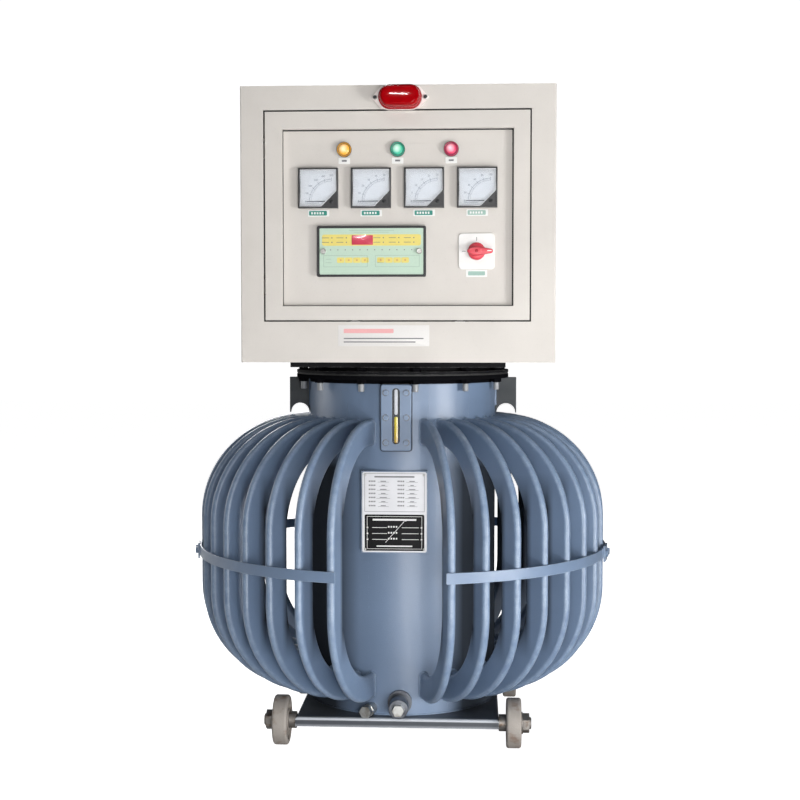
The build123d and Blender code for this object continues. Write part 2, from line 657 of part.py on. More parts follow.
def hinge_arms():
    """Goose-neck arms that carry the door round the border when it opens."""
    t = 3.0
    neck, reach = 24.0, 25.5
    foot_y = FRONT_Y + SHEET - HINGE_Y
    outline = Polyline(
        (-t / 2, 0), (-t / 2, neck + t / 2), (reach + t / 2, neck + t / 2),
        (reach + t / 2, foot_y), (reach - 7, foot_y), (reach - 7, foot_y + t),
        (reach - t / 2, foot_y + t), (reach - t / 2, neck - t / 2), (t / 2, neck - t / 2),
        (t / 2, 0), close=True,
    )
    flat = make_face(outline)
    flat += Circle(HINGE_BARREL_R)
    flat -= Circle(HINGE_PIN_R + RUNNING_GAP)
    arm = extrude(flat, HINGE_ARM_Z)
    return group([Pos(HINGE_X, HINGE_Y, z - HINGE_ARM_Z / 2) * arm for z in HINGE_HEIGHTS])


def square(x, z, side, y0, y1):
    """A square block centred on X and Z."""
    return block(x - side / 2, x + side / 2, y0, y1, z - side / 2, z + side / 2)


def instrument_panel():
    """The plate behind the door's window, cut out for every instrument."""
    back = PANEL_Y + PANEL_T
    panel = block(-250, 250, PANEL_Y, back, WINDOW_Z0 - 15, WINDOW_Z1 + 15)
    for x in METER_XS:
        panel -= square(x, METER_Z, METER_WINDOW, PANEL_Y - 1, back + 1)
    for x in LAMP_XS:
        panel -= rod_y(LENS_R, PANEL_Y - 1, back + 1, x, LAMP_Z)
    w, h = controller_body_size()
    panel -= block(
        CONTROLLER_X - w / 2, CONTROLLER_X + w / 2, PANEL_Y - 1, back + 1,
        CONTROLLER_Z - h / 2, CONTROLLER_Z + h / 2,
    )
    return panel - rod_y(9, PANEL_Y - 1, back + 1, SWITCH_X, SWITCH_Z)


def lamp_bezels():
    """Pilot lamp bodies: a bezel in front of the panel and a barrel behind it."""
    lamps = []
    for x in LAMP_XS:
        bezel = rod_y(LAMP_R, PANEL_Y - 8, PANEL_Y, x, LAMP_Z)
        bezel = chamfer(bezel.edges().group_by(Axis.Y)[0], 2)
        bezel += rod_y(LENS_R, PANEL_Y - 1, PANEL_Y + 42, x, LAMP_Z)
        lamps.append(bezel - rod_y(LENS_R, PANEL_Y - 9, PANEL_Y - 2, x, LAMP_Z))
    return group(lamps)


def lamp_lenses():
    lenses = []
    for x in LAMP_XS:
        lens = rod_y(LENS_R, PANEL_Y - 11, PANEL_Y - 2, x, LAMP_Z)
        lenses.append(fillet(lens.edges().group_by(Axis.Y)[0], 3))
    return group(lenses)


def corner_outline(x):
    """The triangular lower right corner of a meter's window, in X and Z."""
    right, low = x + METER_WINDOW / 2, METER_Z - METER_WINDOW / 2
    leg = METER_CORNER
    return make_face(Polyline((right, low), (right, low + leg), (right - leg, low), close=True))


def meter_bezels():
    """Square meter frames, each with its dark corner cover."""
    frames = []
    for x in METER_XS:
        frame = square(x, METER_Z, METER_SIDE, PANEL_Y - METER_FRONT, PANEL_Y)
        frame = fillet(frame.edges().group_by(Axis.Y)[0], 1.5)
        frame -= square(x, METER_Z, METER_WINDOW, PANEL_Y - METER_FRONT - 1, PANEL_Y + 1)
        frame += front_plate(corner_outline(x), PANEL_Y - 11, PANEL_Y - 8)
        frames.append(frame)
    return group(frames)


def meter_windows():
    """Clear windows, cut away under the corner cover."""
    windows = []
    for x in METER_XS:
        window = square(x, METER_Z, METER_WINDOW, PANEL_Y - 10, PANEL_Y - 8)
        windows.append(window - front_plate(corner_outline(x), PANEL_Y - 11, PANEL_Y - 7))
    return group(windows)


def meter_dials():
    dials = []
    for x in METER_XS:
        dial = square(x, METER_Z, METER_WINDOW, PANEL_Y - DIAL_FRONT, PANEL_Y - DIAL_BACK)
        hole = rod_y(STAFF_R + 1, PANEL_Y - 4, PANEL_Y, x + NEEDLE_PIVOT, METER_Z - NEEDLE_PIVOT)
        dials.append(dial - hole)
    return group(dials)


def meter_cases():
    """Meter movements behind the dials, bored for the needle staffs."""
    cases = []
    for x in METER_XS:
        case = square(x, METER_Z, METER_WINDOW, PANEL_Y - DIAL_BACK, PANEL_Y + METER_BACK)
        bore = rod_y(
            STAFF_R + RUNNING_GAP, PANEL_Y - 2, PANEL_Y + STAFF_REACH + 1,
            x + NEEDLE_PIVOT, METER_Z - NEEDLE_PIVOT,
        )
        cases.append(case - bore)
    return group(cases)


def meter_needle(x):
    """A pointer on its staff, at the left end of its scale."""
    pivot_x, pivot_z = x + NEEDLE_PIVOT, METER_Z - NEEDLE_PIVOT
    y0, y1 = PANEL_Y - 5.4, PANEL_Y - 4.4
    blade = Polygon((8, -1.1), (8, 1.1), (-NEEDLE_LENGTH, 0.3), (-NEEDLE_LENGTH, -0.3), align=None)
    needle = front_plate(Pos(pivot_x, pivot_z) * blade, y0, y1)
    needle += rod_y(3.5, y0 - 0.5, y1 + 0.5, pivot_x, pivot_z)
    return needle + rod_y(STAFF_R, y0, PANEL_Y + STAFF_REACH, pivot_x, pivot_z)


def controller_body_size():
    return CONTROLLER_W - 14, CONTROLLER_H - 11


def controller_case():
    """The regulator's control unit: a front frame and the box behind the panel."""
    x, z, w, h = CONTROLLER_X, CONTROLLER_Z, CONTROLLER_W, CONTROLLER_H
    outline = Pos(x, z) * RectangleRounded(w, h, 3)
    frame = front_plate(outline, PANEL_Y - 12, PANEL_Y)
    frame = chamfer(frame.edges().group_by(Axis.Y)[0], 1)
    bw, bh = controller_body_size()
    frame += block(x - bw / 2, x + bw / 2, PANEL_Y - 1, PANEL_Y + 68, z - bh / 2, z + bh / 2)
    recess = Pos(x, z) * RectangleRounded(w - 10, h - 9, 2)
    frame -= front_plate(recess, PANEL_Y - 13, PANEL_Y - 10)
    for sx in controller_screw_xs():
        frame -= rod_y(2.5, PANEL_Y - 12, PANEL_Y - 4, sx, z)
    return frame


def controller_screw_xs():
    inset = 13.0
    half = CONTROLLER_W / 2 - inset
    return CONTROLLER_X - half, CONTROLLER_X + half


def controller_fascia():
    """The printed front plate, let into the frame."""
    outline = RectangleRounded(CONTROLLER_W - 10, CONTROLLER_H - 9, 2)
    plate = front_plate(Pos(CONTROLLER_X, CONTROLLER_Z) * outline, PANEL_Y - 11.5, PANEL_Y - 10)
    for sx in controller_screw_xs():
        plate -= rod_y(2.5, PANEL_Y - 13, PANEL_Y - 9, sx, CONTROLLER_Z)
    return plate


def controller_screws():
    """Two thumb screws through the fascia."""
    screws = []
    for sx in controller_screw_xs():
        head = rod_y(5.5, PANEL_Y - 17, PANEL_Y - 11.5, sx, CONTROLLER_Z)
        head = chamfer(head.edges().group_by(Axis.Y)[0], 0.8)
        screws.append(head + rod_y(2.5, PANEL_Y - 11.5, PANEL_Y - 4, sx, CONTROLLER_Z))
    return group(screws)


def switch_housing():
    """The rotary switch's front plate and the switch body behind the panel."""
    bore = rod_y(KNOB_SHAFT_R + RUNNING_GAP, PANEL_Y - 5, PANEL_Y + 30, SWITCH_X, SWITCH_Z)
    outline = Pos(SWITCH_X, SWITCH_Z) * RectangleRounded(SWITCH_SIDE, SWITCH_SIDE, 8)
    plate = front_plate(outline, PANEL_Y - SWITCH_PLATE_T, PANEL_Y) - bore
    plate = fillet(plate.faces().sort_by(Axis.Y)[0].outer_wire().edges(), 1)
    body = square(SWITCH_X, SWITCH_Z, 50, PANEL_Y + PANEL_T, PANEL_Y + 60) - bore
    return group([plate, body])


def switch_knob():
    """The knob with its grip pointing right, on its spindle."""
    face = PANEL_Y - SWITCH_PLATE_T - PART_GAP
    knob = rod_y(KNOB_R, face - 8, face, SWITCH_X, SWITCH_Z)
    knob = chamfer(knob.edges().group_by(Axis.Y)[0], 1.5)
    grip = block(
        SWITCH_X - KNOB_R + 1, SWITCH_X + 33, face - 21, face - 1,
        SWITCH_Z - 6, SWITCH_Z + 6,
    )
    grip = fillet(grip.edges().filter_by(Axis.Y), 4)
    knob += fillet(grip.edges().group_by(Axis.Y)[0], 2)
    return knob + rod_y(KNOB_SHAFT_R, face - 2, PANEL_Y + 28, SWITCH_X, SWITCH_Z)


def panel_labels():
    """Engraved label plates below the lamps, the meters and the switch."""
    places = [(x, LAMP_LABEL_Z, 23, 12) for x in LAMP_XS]
    places += [(x, METER_LABEL_Z, 43, 13) for x in METER_XS]
    places.append((SWITCH_X, SWITCH_LABEL_Z, 42, 14))
    labels = []
    for x, z, w, h in places:
        outline = Pos(x, z) * RectangleRounded(w, h, 1)
        labels.append(front_plate(outline, PANEL_Y - LABEL_T, PANEL_Y))
    return group(labels)


# ---- regulator inside the tank, and its drive ---------------------------------------------------
def slotted_ring(outer, inner, count, slot_width, slot_depth, at_outer):
    """A lamination outline with slots at its bore or at its rim."""
    ring = Circle(outer) - Circle(inner)
    past = 4.0  # the slot's cutter runs out through its open end
    middle = outer + (past - slot_depth) / 2 if at_outer else inner + (slot_depth - past) / 2
    slot = Pos(middle, 0) * Rectangle(slot_depth + past, slot_width)
    cuts = [Rot(0, 0, i * 360 / count) * slot for i in range(count)]
    return ring - cuts


def stator_core():
    outline = slotted_ring(STATOR_R, STATOR_BORE, STATOR_SLOTS, 11, 50, False)
    return Pos(0, 0, CORE_Z0) * extrude(outline, CORE_Z1 - CORE_Z0)


def stator_windings():
    """Coil sides in the slots, joined by a winding head at each end."""
    head = Circle(STATOR_BORE + 46) - Circle(STATOR_BORE + 3)
    coils = Pos(0, 0, CORE_Z0 - STATOR_HEAD) * extrude(head, STATOR_HEAD)
    coils += Pos(0, 0, CORE_Z1) * extrude(head, STATOR_HEAD)
    bar = block(STATOR_BORE + 4, STATOR_BORE + 44, -4.5, 4.5, CORE_Z0 - 1, CORE_Z1 + 1)
    for i in range(STATOR_SLOTS):
        coils += Rot(0, 0, i * 360 / STATOR_SLOTS) * bar
    return coils


def rotor_core():
    """The laminated rotor with its winding heads."""
    outline = slotted_ring(ROTOR_R, SHAFT_R, ROTOR_SLOTS, 9, 34, True)
    core = Pos(0, 0, CORE_Z0) * extrude(outline, CORE_Z1 - CORE_Z0)
    head = Circle(ROTOR_R - 6) - Circle(ROTOR_R - 44)
    lower = Pos(0, 0, CORE_Z0 - ROTOR_HEAD) * extrude(head, ROTOR_HEAD)
    upper = Pos(0, 0, CORE_Z1) * extrude(head, ROTOR_HEAD)
    return group([core, lower, upper])


def rotor_shaft():
    return rod_z(SHAFT_R, SHAFT_Z0, SHAFT_Z1)


def shaft_bearings():
    """The footstep bearing on the tank bottom and the housing on the cover."""
    floor, cover_top = CHASSIS_TOP + TANK_FLOOR_T, cover_z()[1]
    bore_r = SHAFT_R + RUNNING_GAP
    foot = rod_z(45, floor, 130) - rod_z(bore_r, SHAFT_Z0 - PART_GAP, 131)
    housing = rod_z(50, cover_top, cover_top + 10) + rod_z(34, cover_top, cover_top + 26)
    return group([foot, housing - rod_z(bore_r, cover_top - 1, cover_top + 27)])


def gear_outline(teeth, tip_trim, backlash):
    """A spur gear's outline from involute flanks of 20 degrees pressure angle."""
    pitch_r = GEAR_MODULE * teeth / 2
    base_r = pitch_r * cos(radians(20))
    tip_r = pitch_r + GEAR_MODULE - tip_trim
    root_r = pitch_r - 1.25 * GEAR_MODULE
    half_pitch = pi / (2 * teeth) - backlash / (2 * pitch_r)
    involute_20 = tan(radians(20)) - radians(20)
    flank = []
    for step in range(5):
        r = max(base_r, root_r) + (tip_r - max(base_r, root_r)) * step / 4
        roll = sqrt(max((r / base_r) ** 2 - 1, 0))
        flank.append((r, half_pitch + involute_20 - (roll - atan(roll))))
    points = []
    for i in range(teeth):
        middle = 2 * pi * i / teeth
        low = [(root_r, flank[0][1])] if root_r < flank[0][0] else []
        for r, a in low + flank:
            points.append((r * cos(middle - a), r * sin(middle - a)))
        for r, a in reversed(low + flank):
            points.append((r * cos(middle + a), r * sin(middle + a)))
    return make_face(Polyline(*points, close=True))


def main_gear():
    """The gear on the rotor shaft, with a hub below."""
    gear = Pos(0, 0, GEAR_Z0) * extrude(gear_outline(GEAR_TEETH, 0.3, 0.25), GEAR_Z1 - GEAR_Z0)
    gear += rod_z(36, GEAR_Z0 - 3, GEAR_Z1 + 6)
    return gear - rod_z(SHAFT_R, GEAR_Z0 - 5, GEAR_Z1 + 8)


def drive_pinion():
    """The pinion and its spindle, turned half a tooth so that it meshes with the gear."""
    outline = Rot(0, 0, pinion_turn()) * gear_outline(PINION_TEETH, 0.3, 0.25)
    pinion = Pos(0, CENTRE_DISTANCE, GEAR_Z0 - 2) * extrude(outline, GEAR_Z1 - GEAR_Z0 + 4)
    return pinion + rod_z(PINION_SHAFT_R, GEAR_Z0 - 4, PINION_SHAFT_TOP, 0, CENTRE_DISTANCE)


def pinion_turn():
    """Degrees that put a pinion space opposite the gear tooth on the +Y axis."""
    return -90 + 180 / PINION_TEETH


def motor_bracket():
    """A bridge over the gears that carries the gearmotor."""
    half_x, leg_depth = MOTOR_HALF_X + 14, 42.0
    top, floor = GEAR_Z1 + BRIDGE_GAP, CABINET_Z0 + SHEET
    back = MOTOR_BACK + 4
    bridge = block(-half_x, half_x, MOTOR_FRONT - 4, back, top, top + BRIDGE_T)
    for x in (-half_x, half_x - BRIDGE_T):
        bridge += block(x, x + BRIDGE_T, back - leg_depth, back, floor, top)
    return bridge - rod_z(PINION_SHAFT_R + 6, top - 1, top + BRIDGE_T + 1, 0, CENTRE_DISTANCE)


def gearmotor():
    """The servo motor on its reduction gearbox."""
    z0 = GEAR_Z1 + BRIDGE_GAP + BRIDGE_T
    motor = block(-MOTOR_HALF_X, MOTOR_HALF_X, MOTOR_FRONT, MOTOR_BACK, z0, z0 + MOTOR_BOX_H)
    motor = fillet(motor.edges().filter_by(Axis.Z), 6)
    middle = (MOTOR_FRONT + MOTOR_BACK) / 2
    can = rod_z(MOTOR_CAN_R, z0 + MOTOR_BOX_H - 1, z0 + MOTOR_HEIGHT, 0, middle)
    motor += fillet(can.edges().group_by(Axis.Z)[-1], 4)
    bore_r, bore_top = PINION_SHAFT_R + RUNNING_GAP, PINION_SHAFT_TOP + 2
    return motor - rod_z(bore_r, z0 - 1, bore_top, 0, CENTRE_DISTANCE)


def mounting_plate():
    """The equipment plate across the back of the cabinet, flanged to its side walls."""
    inner_x = CABINET_HALF_X - SHEET
    back = EQUIPMENT_Y + SHEET
    plate = block(-inner_x, inner_x, EQUIPMENT_Y, back, EQUIPMENT_Z0, EQUIPMENT_Z1)
    for x in (-inner_x, inner_x - SHEET):
        plate += block(x, x + SHEET, back - EQUIPMENT_FLANGE, back, EQUIPMENT_Z0, EQUIPMENT_Z1)
    return plate


def contactors():
    """Raise and lower contactors and a control transformer on the equipment plate."""
    blocks = []
    for x, width, depth in CONTACTORS:
        body = block(
            x - width / 2, x + width / 2, EQUIPMENT_Y - depth, EQUIPMENT_Y,
            CONTACTOR_Z0, CONTACTOR_Z1,
        )
        blocks.append(fillet(body.edges().filter_by(Axis.Y), 4))
    return group(blocks)


PARTS = {
    "chassis": chassis(),
    "stub_axles": group([place_wheel_part(stub_axle(), s, y) for _, s, y in wheel_places()]),
    "axle_nuts": group([
        place_wheel_part(piece, s, y) for _, s, y in wheel_places() for piece in axle_hardware()
    ]),
    "tank_shell": tank_shell(),
    "cooling_tubes": cooling_tubes(),
    "tube_band": tube_band(),
    "band_clamps": band_clamps(),
    "lifting_lugs": lifting_lugs(),
    "oil_gauge_frame": oil_gauge_frame(),
    "oil_gauge_glass": oil_gauge_glass(),
    "gauge_bolts": gauge_bolts(),
    "nameplate_bracket": nameplate_bracket(),
    "nameplate": nameplate(),
    "earth_terminal": earth_terminal(),
    "drain_valve": drain_valve(),
    "drain_plug": drain_plug(),
    "cover_gasket": cover_gasket(),
    "tank_cover": tank_cover(),
    "cover_bolts": cover_bolts(),
    "cabinet_plinth": cabinet_plinth(),
    "cabinet_shell": cabinet_shell(),
    "back_cover": back_cover(),
    "case_screws": case_screws(),
    "hinge_brackets": hinge_brackets(),
    "beacon_base": beacon_base(),
    "beacon_lens": beacon_lens(),
    "door_frame": door_frame(),
    "hinge_arms": hinge_arms(),
    "instrument_panel": instrument_panel(),
    "lamp_bezels": lamp_bezels(),
    "lamp_lenses": lamp_lenses(),
    "meter_bezels": meter_bezels(),
    "meter_windows": meter_windows(),
    "meter_dials": meter_dials(),
    "meter_cases": meter_cases(),
    "controller_case": controller_case(),
    "controller_fascia": controller_fascia(),
    "controller_screws": controller_screws(),
    "switch_housing": switch_housing(),
    "switch_knob": switch_knob(),
    "panel_labels": panel_labels(),
    "stator_core": stator_core(),
    "stator_windings": stator_windings(),
    "rotor_core": rotor_core(),
    "rotor_shaft": rotor_shaft(),
    "shaft_bearings": shaft_bearings(),
    "main_gear": main_gear(),
    "drive_pinion": drive_pinion(),
    "motor_bracket": motor_bracket(),
    "gearmotor": gearmotor(),
    "mounting_plate": mounting_plate(),
    "contactors": contactors(),
}
for number, meter_x in enumerate(METER_XS, start=1):
    PARTS[f"meter_needle_{number}"] = meter_needle(meter_x)
for wheel_name, wheel_side, wheel_y in wheel_places():
    PARTS[wheel_name] = place_wheel_part(wheel(), wheel_side, wheel_y)

os.makedirs("parts", exist_ok=True)
for node, shape in PARTS.items():
    export_step(shape, f"parts/{node}.step")
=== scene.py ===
from math import cos, pi, radians, sin, sqrt

import bmesh
import bpy
from mathutils import Matrix, Vector


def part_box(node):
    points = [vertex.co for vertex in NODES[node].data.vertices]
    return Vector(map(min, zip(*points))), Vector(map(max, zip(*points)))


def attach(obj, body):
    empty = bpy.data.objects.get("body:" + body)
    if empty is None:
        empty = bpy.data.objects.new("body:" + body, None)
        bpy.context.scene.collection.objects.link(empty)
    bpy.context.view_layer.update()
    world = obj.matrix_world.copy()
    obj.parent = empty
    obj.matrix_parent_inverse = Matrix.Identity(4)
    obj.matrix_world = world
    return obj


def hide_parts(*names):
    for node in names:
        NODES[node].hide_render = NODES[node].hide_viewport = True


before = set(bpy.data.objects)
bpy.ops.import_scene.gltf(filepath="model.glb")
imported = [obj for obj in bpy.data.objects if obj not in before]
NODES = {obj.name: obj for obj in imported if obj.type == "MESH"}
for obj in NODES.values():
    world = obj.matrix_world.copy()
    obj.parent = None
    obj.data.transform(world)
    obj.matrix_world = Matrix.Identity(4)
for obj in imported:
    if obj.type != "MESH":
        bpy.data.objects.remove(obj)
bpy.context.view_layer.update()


# ---- node-tree helpers ----
class Surface:
    """A material under construction: a Principled shader with a few shorthands."""

    def __init__(self, name, colour, roughness, metallic=0.0, **sockets):
        self.material = bpy.data.materials.new(name)
        self.material.use_nodes = True
        self.tree = self.material.node_tree
        self.shader = self.tree.nodes["Principled BSDF"]
        self.set("Base Color", (*colour, 1.0))
        self.set("Roughness", roughness)
        self.set("Metallic", metallic)
        for socket, value in sockets.items():
            self.set(socket.replace("_", " "), value)
        self.coords = self.add("ShaderNodeTexCoord").outputs["Object"]
        self.height = None

    def set(self, socket, value):
        self.shader.inputs[socket].default_value = value

    def add(self, kind, **inputs):
        node = self.tree.nodes.new(kind)
        for socket, value in inputs.items():
            self.feed(node.inputs[socket.replace("_", " ")], value)
        return node

    def feed(self, socket, value):
        """Links an output, or sets a plain value."""
        if isinstance(value, bpy.types.NodeSocket):
            self.tree.links.new(value, socket)
        else:
            socket.default_value = value

    def noise(self, scale, detail=4.0, roughness=0.55, stretch=(1, 1, 1)):
        """A noise value in the object's own space; scale is in features per metre."""
        vector = self.coords
        if stretch != (1, 1, 1):
            vector = self.add("ShaderNodeMapping", Vector=vector, Scale=stretch).outputs["Vector"]
        node = self.add("ShaderNodeTexNoise", Vector=vector, Scale=scale, Detail=detail, Roughness=roughness)
        return node.outputs["Fac"]

    def ramp(self, value, *stops):
        """A colour ramp of (place, grey or colour) stops."""
        node = self.add("ShaderNodeValToRGB", Fac=value)
        elements = node.color_ramp.elements
        while len(elements) < len(stops):
            elements.new(0.5)
        for element, (place, colour) in zip(elements, stops):
            element.position = place
            element.color = (colour, colour, colour, 1) if isinstance(colour, float) else (*colour, 1)
        return node.outputs["Color"]

    def mix(self, factor, a, b):
        node = self.add("ShaderNodeMix")
        node.data_type = "RGBA"
        self.feed(node.inputs[0], factor)
        self.feed(node.inputs[6], (*a, 1) if isinstance(a, tuple) else a)
        self.feed(node.inputs[7], (*b, 1) if isinstance(b, tuple) else b)
        return node.outputs[2]

    def math(self, operation, a, b=0.0, clamp=False):
        node = self.add("ShaderNodeMath")
        node.operation = operation
        node.use_clamp = clamp
        self.feed(node.inputs[0], a)
        self.feed(node.inputs[1], b)
        return node.outputs[0]

    def times(self, a, b):
        return self.math("MULTIPLY", a, b)

    def separate(self):
        return self.add("ShaderNodeSeparateXYZ", Vector=self.coords).outputs

    def between(self, value, low, high):
        """0 below low, 1 above high, linear between."""
        return self.add("ShaderNodeMapRange", Value=value, From_Min=low, From_Max=high).outputs["Result"]

    def bump(self, height, distance, strength=1.0):
        """Adds a bump of this height map, on top of any before it."""
        node = self.add("ShaderNodeBump", Height=height, Distance=distance, Strength=strength)
        if self.height is not None:
            self.tree.links.new(self.height, node.inputs["Normal"])
        self.height = node.outputs["Normal"]
        self.feed(self.shader.inputs["Normal"], self.height)

    def edges(self, radius):
        """1 on worn convex edges and 0 on flats, from the angle to a rounded normal."""
        rounded = self.add("ShaderNodeBevel", Radius=radius)
        rounded.samples = 4
        flat = self.add("ShaderNodeNewGeometry").outputs["Normal"]
        dot = self.add("ShaderNodeVectorMath")
        dot.operation = "DOT_PRODUCT"
        self.feed(dot.inputs[0], rounded.outputs["Normal"])
        self.feed(dot.inputs[1], flat)
        return self.between(dot.outputs["Value"], 0.985, 0.90)

    def colour(self, socket):
        self.feed(self.shader.inputs["Base Color"], socket)

    def rough(self, socket, low, high):
        node = self.add("ShaderNodeMapRange", Value=socket, To_Min=low, To_Max=high)
        self.feed(self.shader.inputs["Roughness"], node.outputs["Result"])


def darker(colour, factor):
    return tuple(c * factor for c in colour)


# ---- materials ----
FLANGE_FOOT = 0.7338     # the underside of the tank's flange
TRAY_FOOT = 0.043        # the underside of the chassis tray
GAUGE_FACE = -0.212      # the front of the oil gauge's frame
# painted shade: the dark tone laid on the tank's sides behind the tubes and on the tubes' inner edges
PAINTED_SHADE = (0.030, 0.036, 0.046)
FLANGE_BLACK = (0.005, 0.005, 0.006)
DARK_PAINT_OR_SHADE = 0.05        # masked colours below this, painted shade and the flange's black, are matt
TUBE_INNER_R, TUBE_INNER_EDGE = 0.381, 0.396   # the upright tubes' edges towards the tank, where their painted shade lies


def painted(name, colour, roughness, grain=900.0, depth=0.00012, wear_and_sheen=None, dust=0.0, coat=0.15, masks=(),
            wear_and_sheen_radius=0.0022, specular=0.5):
    """Sprayed enamel: orange peel, slight colour drift, dust on upward faces, and lighter edges that are worn
    paint and, where the edge radius is wide, a painted highlight.

    Each mask is (function, colour) and lays another colour, which is matt where it is dark; the masks in use
    lay painted shade, the flange's black, and a painted highlight with rubbed paint.
    """
    s = Surface(name, colour, roughness, Coat_Weight=coat, Coat_Roughness=roughness,
                Specular_IOR_Level=specular)
    gloss = 1.0
    tone = s.mix(s.noise(7.0, 3.0), darker(colour, 0.90), darker(colour, 1.10))
    speck = s.ramp(s.noise(220.0, 2.0), (0.60, 0.0), (0.72, 1.0))
    tone = s.mix(s.times(speck, 0.10), tone, darker(colour, 0.62))
    if dust:
        normal = s.add("ShaderNodeNewGeometry").outputs["Normal"]
        up = s.add("ShaderNodeSeparateXYZ", Vector=normal).outputs["Z"]
        settled = s.times(s.between(up, 0.45, 1.0), s.between(s.noise(28.0), 0.3, 0.8))
        tone = s.mix(s.times(settled, dust), tone, (0.42, 0.41, 0.38))
    # lighter edges: worn paint, and where the radius is wide, a painted highlight
    if wear_and_sheen:
        chips_and_sheen = s.times(s.edges(wear_and_sheen_radius), s.between(s.noise(60.0, 6.0), 0.36, 0.62))
        tone = s.mix(chips_and_sheen, tone, wear_and_sheen)
    # masks lay painted shade, the flange's black and a painted highlight over the enamel
    for mask, under in masks:
        shade_or_overlay = mask(s)
        tone = s.mix(shade_or_overlay, tone, under)
        if max(under) < DARK_PAINT_OR_SHADE:
            gloss = s.times(gloss, s.math("SUBTRACT", 1.0, shade_or_overlay))
    if masks:
        s.feed(s.shader.inputs["Specular IOR Level"], s.times(gloss, specular))
        s.feed(s.shader.inputs["Coat Weight"], s.times(gloss, coat))
    s.colour(tone)
    s.rough(s.noise(35.0, 4.0), roughness - 0.08, roughness + 0.10)
    s.bump(s.noise(grain, 3.0), depth)
    s.bump(s.noise(12.0, 2.0), depth * 3)
    return s.material


def tank_paint(name, *masks, wear_and_sheen_radius=0.0022):
    """Blue-grey oil-resistant enamel over welded plate, with pale edges that are wear and, on the tubes'
    noses, a painted highlight.
    """
    return painted(name, (0.152, 0.216, 0.325), 0.36, 520.0, 0.00035, (0.40, 0.50, 0.62), 0.10, 0.35, masks,
                   wear_and_sheen_radius)


def behind_tubes(s):
    """1 on the tank's sides behind the tubes, which take painted shade."""
    _, y, z = s.separate()
    return s.times(s.between(y, -0.182, -0.148), s.between(z, 0.612, 0.560))


def tube_inner_edge(s):
    """1 on the edges of the upright tubes that face the tank, which take painted shade."""
    x, y, z = s.separate()
    reach = s.math("SQRT", s.math("ADD", s.times(x, x), s.times(y, y)))
    upright = s.times(s.between(z, 0.20, 0.27), s.between(z, 0.56, 0.49))
    return s.times(s.between(reach, TUBE_INNER_EDGE, TUBE_INNER_R), upright)


def on_flange(s):
    """1 from the flange's underside upwards."""
    return s.between(s.separate()[2], FLANGE_FOOT - 0.001, FLANGE_FOOT)


def tray_front_edges(s):
    """1 along the tray's front edges: a painted highlight on their rounding, together with paint rubbed
    bright by feet and pallets.
    """
    _, y, z = s.separate()
    low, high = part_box("chassis")
    front, foot, top = low.y, TRAY_FOOT, high.z
    upper = s.times(s.between(z, top - 0.0055, top - 0.0035), s.between(y, front + 0.012, front + 0.006))
    lower = s.times(s.between(z, foot + 0.006, foot + 0.002), s.between(y, front + 0.006, front + 0.001))
    return s.math("MAXIMUM", upper, s.times(lower, 0.35))


def cast_iron():
    """Sand-cast wheel iron under thin brown-grey paint and dust."""
    s = Surface("cast_iron", (0.205, 0.180, 0.155), 0.68, 0.15)
    tone = s.mix(s.noise(18.0, 5.0), (0.200, 0.178, 0.158), (0.420, 0.385, 0.350))
    rust = s.between(s.noise(40.0, 7.0), 0.56, 0.70)
    tone = s.mix(s.times(rust, 0.55), tone, (0.150, 0.070, 0.035))
    tone = s.mix(s.times(s.edges(0.003), 0.60), tone, (0.090, 0.070, 0.055))
    s.colour(tone)
    s.rough(s.noise(50.0), 0.55, 0.82)
    s.bump(s.noise(420.0, 5.0), 0.00060)
    s.bump(s.noise(60.0, 3.0), 0.00080)
    return s.material


def metal(name, colour, roughness, brush=(1, 1, 1), stain=None):
    """Plated or machined steel, with fine brush marks and slight staining."""
    s = Surface(name, colour, roughness, 1.0)
    tone = s.mix(s.noise(90.0, 4.0), darker(colour, 0.78), darker(colour, 1.12))
    if stain:
        tone = s.mix(s.between(s.noise(55.0, 6.0), 0.52, 0.68), tone, stain)
    s.colour(tone)
    s.rough(s.noise(140.0, 3.0, 0.6, brush), roughness - 0.07, roughness + 0.14)
    s.bump(s.noise(900.0, 2.0, 0.5, brush), 0.00006)
    return s.material


def moulded(name, colour, roughness, grain=1800.0, **sockets):
    """Moulded plastic with a fine spark-eroded grain."""
    s = Surface(name, colour, roughness, **sockets)
    s.colour(s.mix(s.noise(30.0), darker(colour, 0.88), darker(colour, 1.10)))
    s.rough(s.noise(80.0), max(roughness - 0.05, 0.02), roughness + 0.08)
    s.bump(s.noise(grain, 2.0), 0.00005)
    return s.material


def printed(name, colour, roughness=0.45, glow=0.0):
    """Screen print or paper: an even tone with a trace of fibre; glow makes it shine by itself as painted
    light.
    """
    s = Surface(name, colour, roughness, Specular_IOR_Level=0.2, Emission_Color=(1.0, 1.0, 1.0, 1.0),
                Emission_Strength=glow)
    s.colour(s.mix(s.noise(400.0, 3.0), darker(colour, 0.93), darker(colour, 1.04)))
    s.bump(s.noise(2500.0, 2.0), 0.00002)
    return s.material


def rubber():
    """Black moulded rubber, a little grey with age."""
    s = Surface("rubber", (0.014, 0.014, 0.014), 0.72)
    s.colour(s.mix(s.noise(60.0), (0.010, 0.010, 0.010), (0.030, 0.030, 0.029)))
    s.bump(s.noise(800.0), 0.00012)
    return s.material


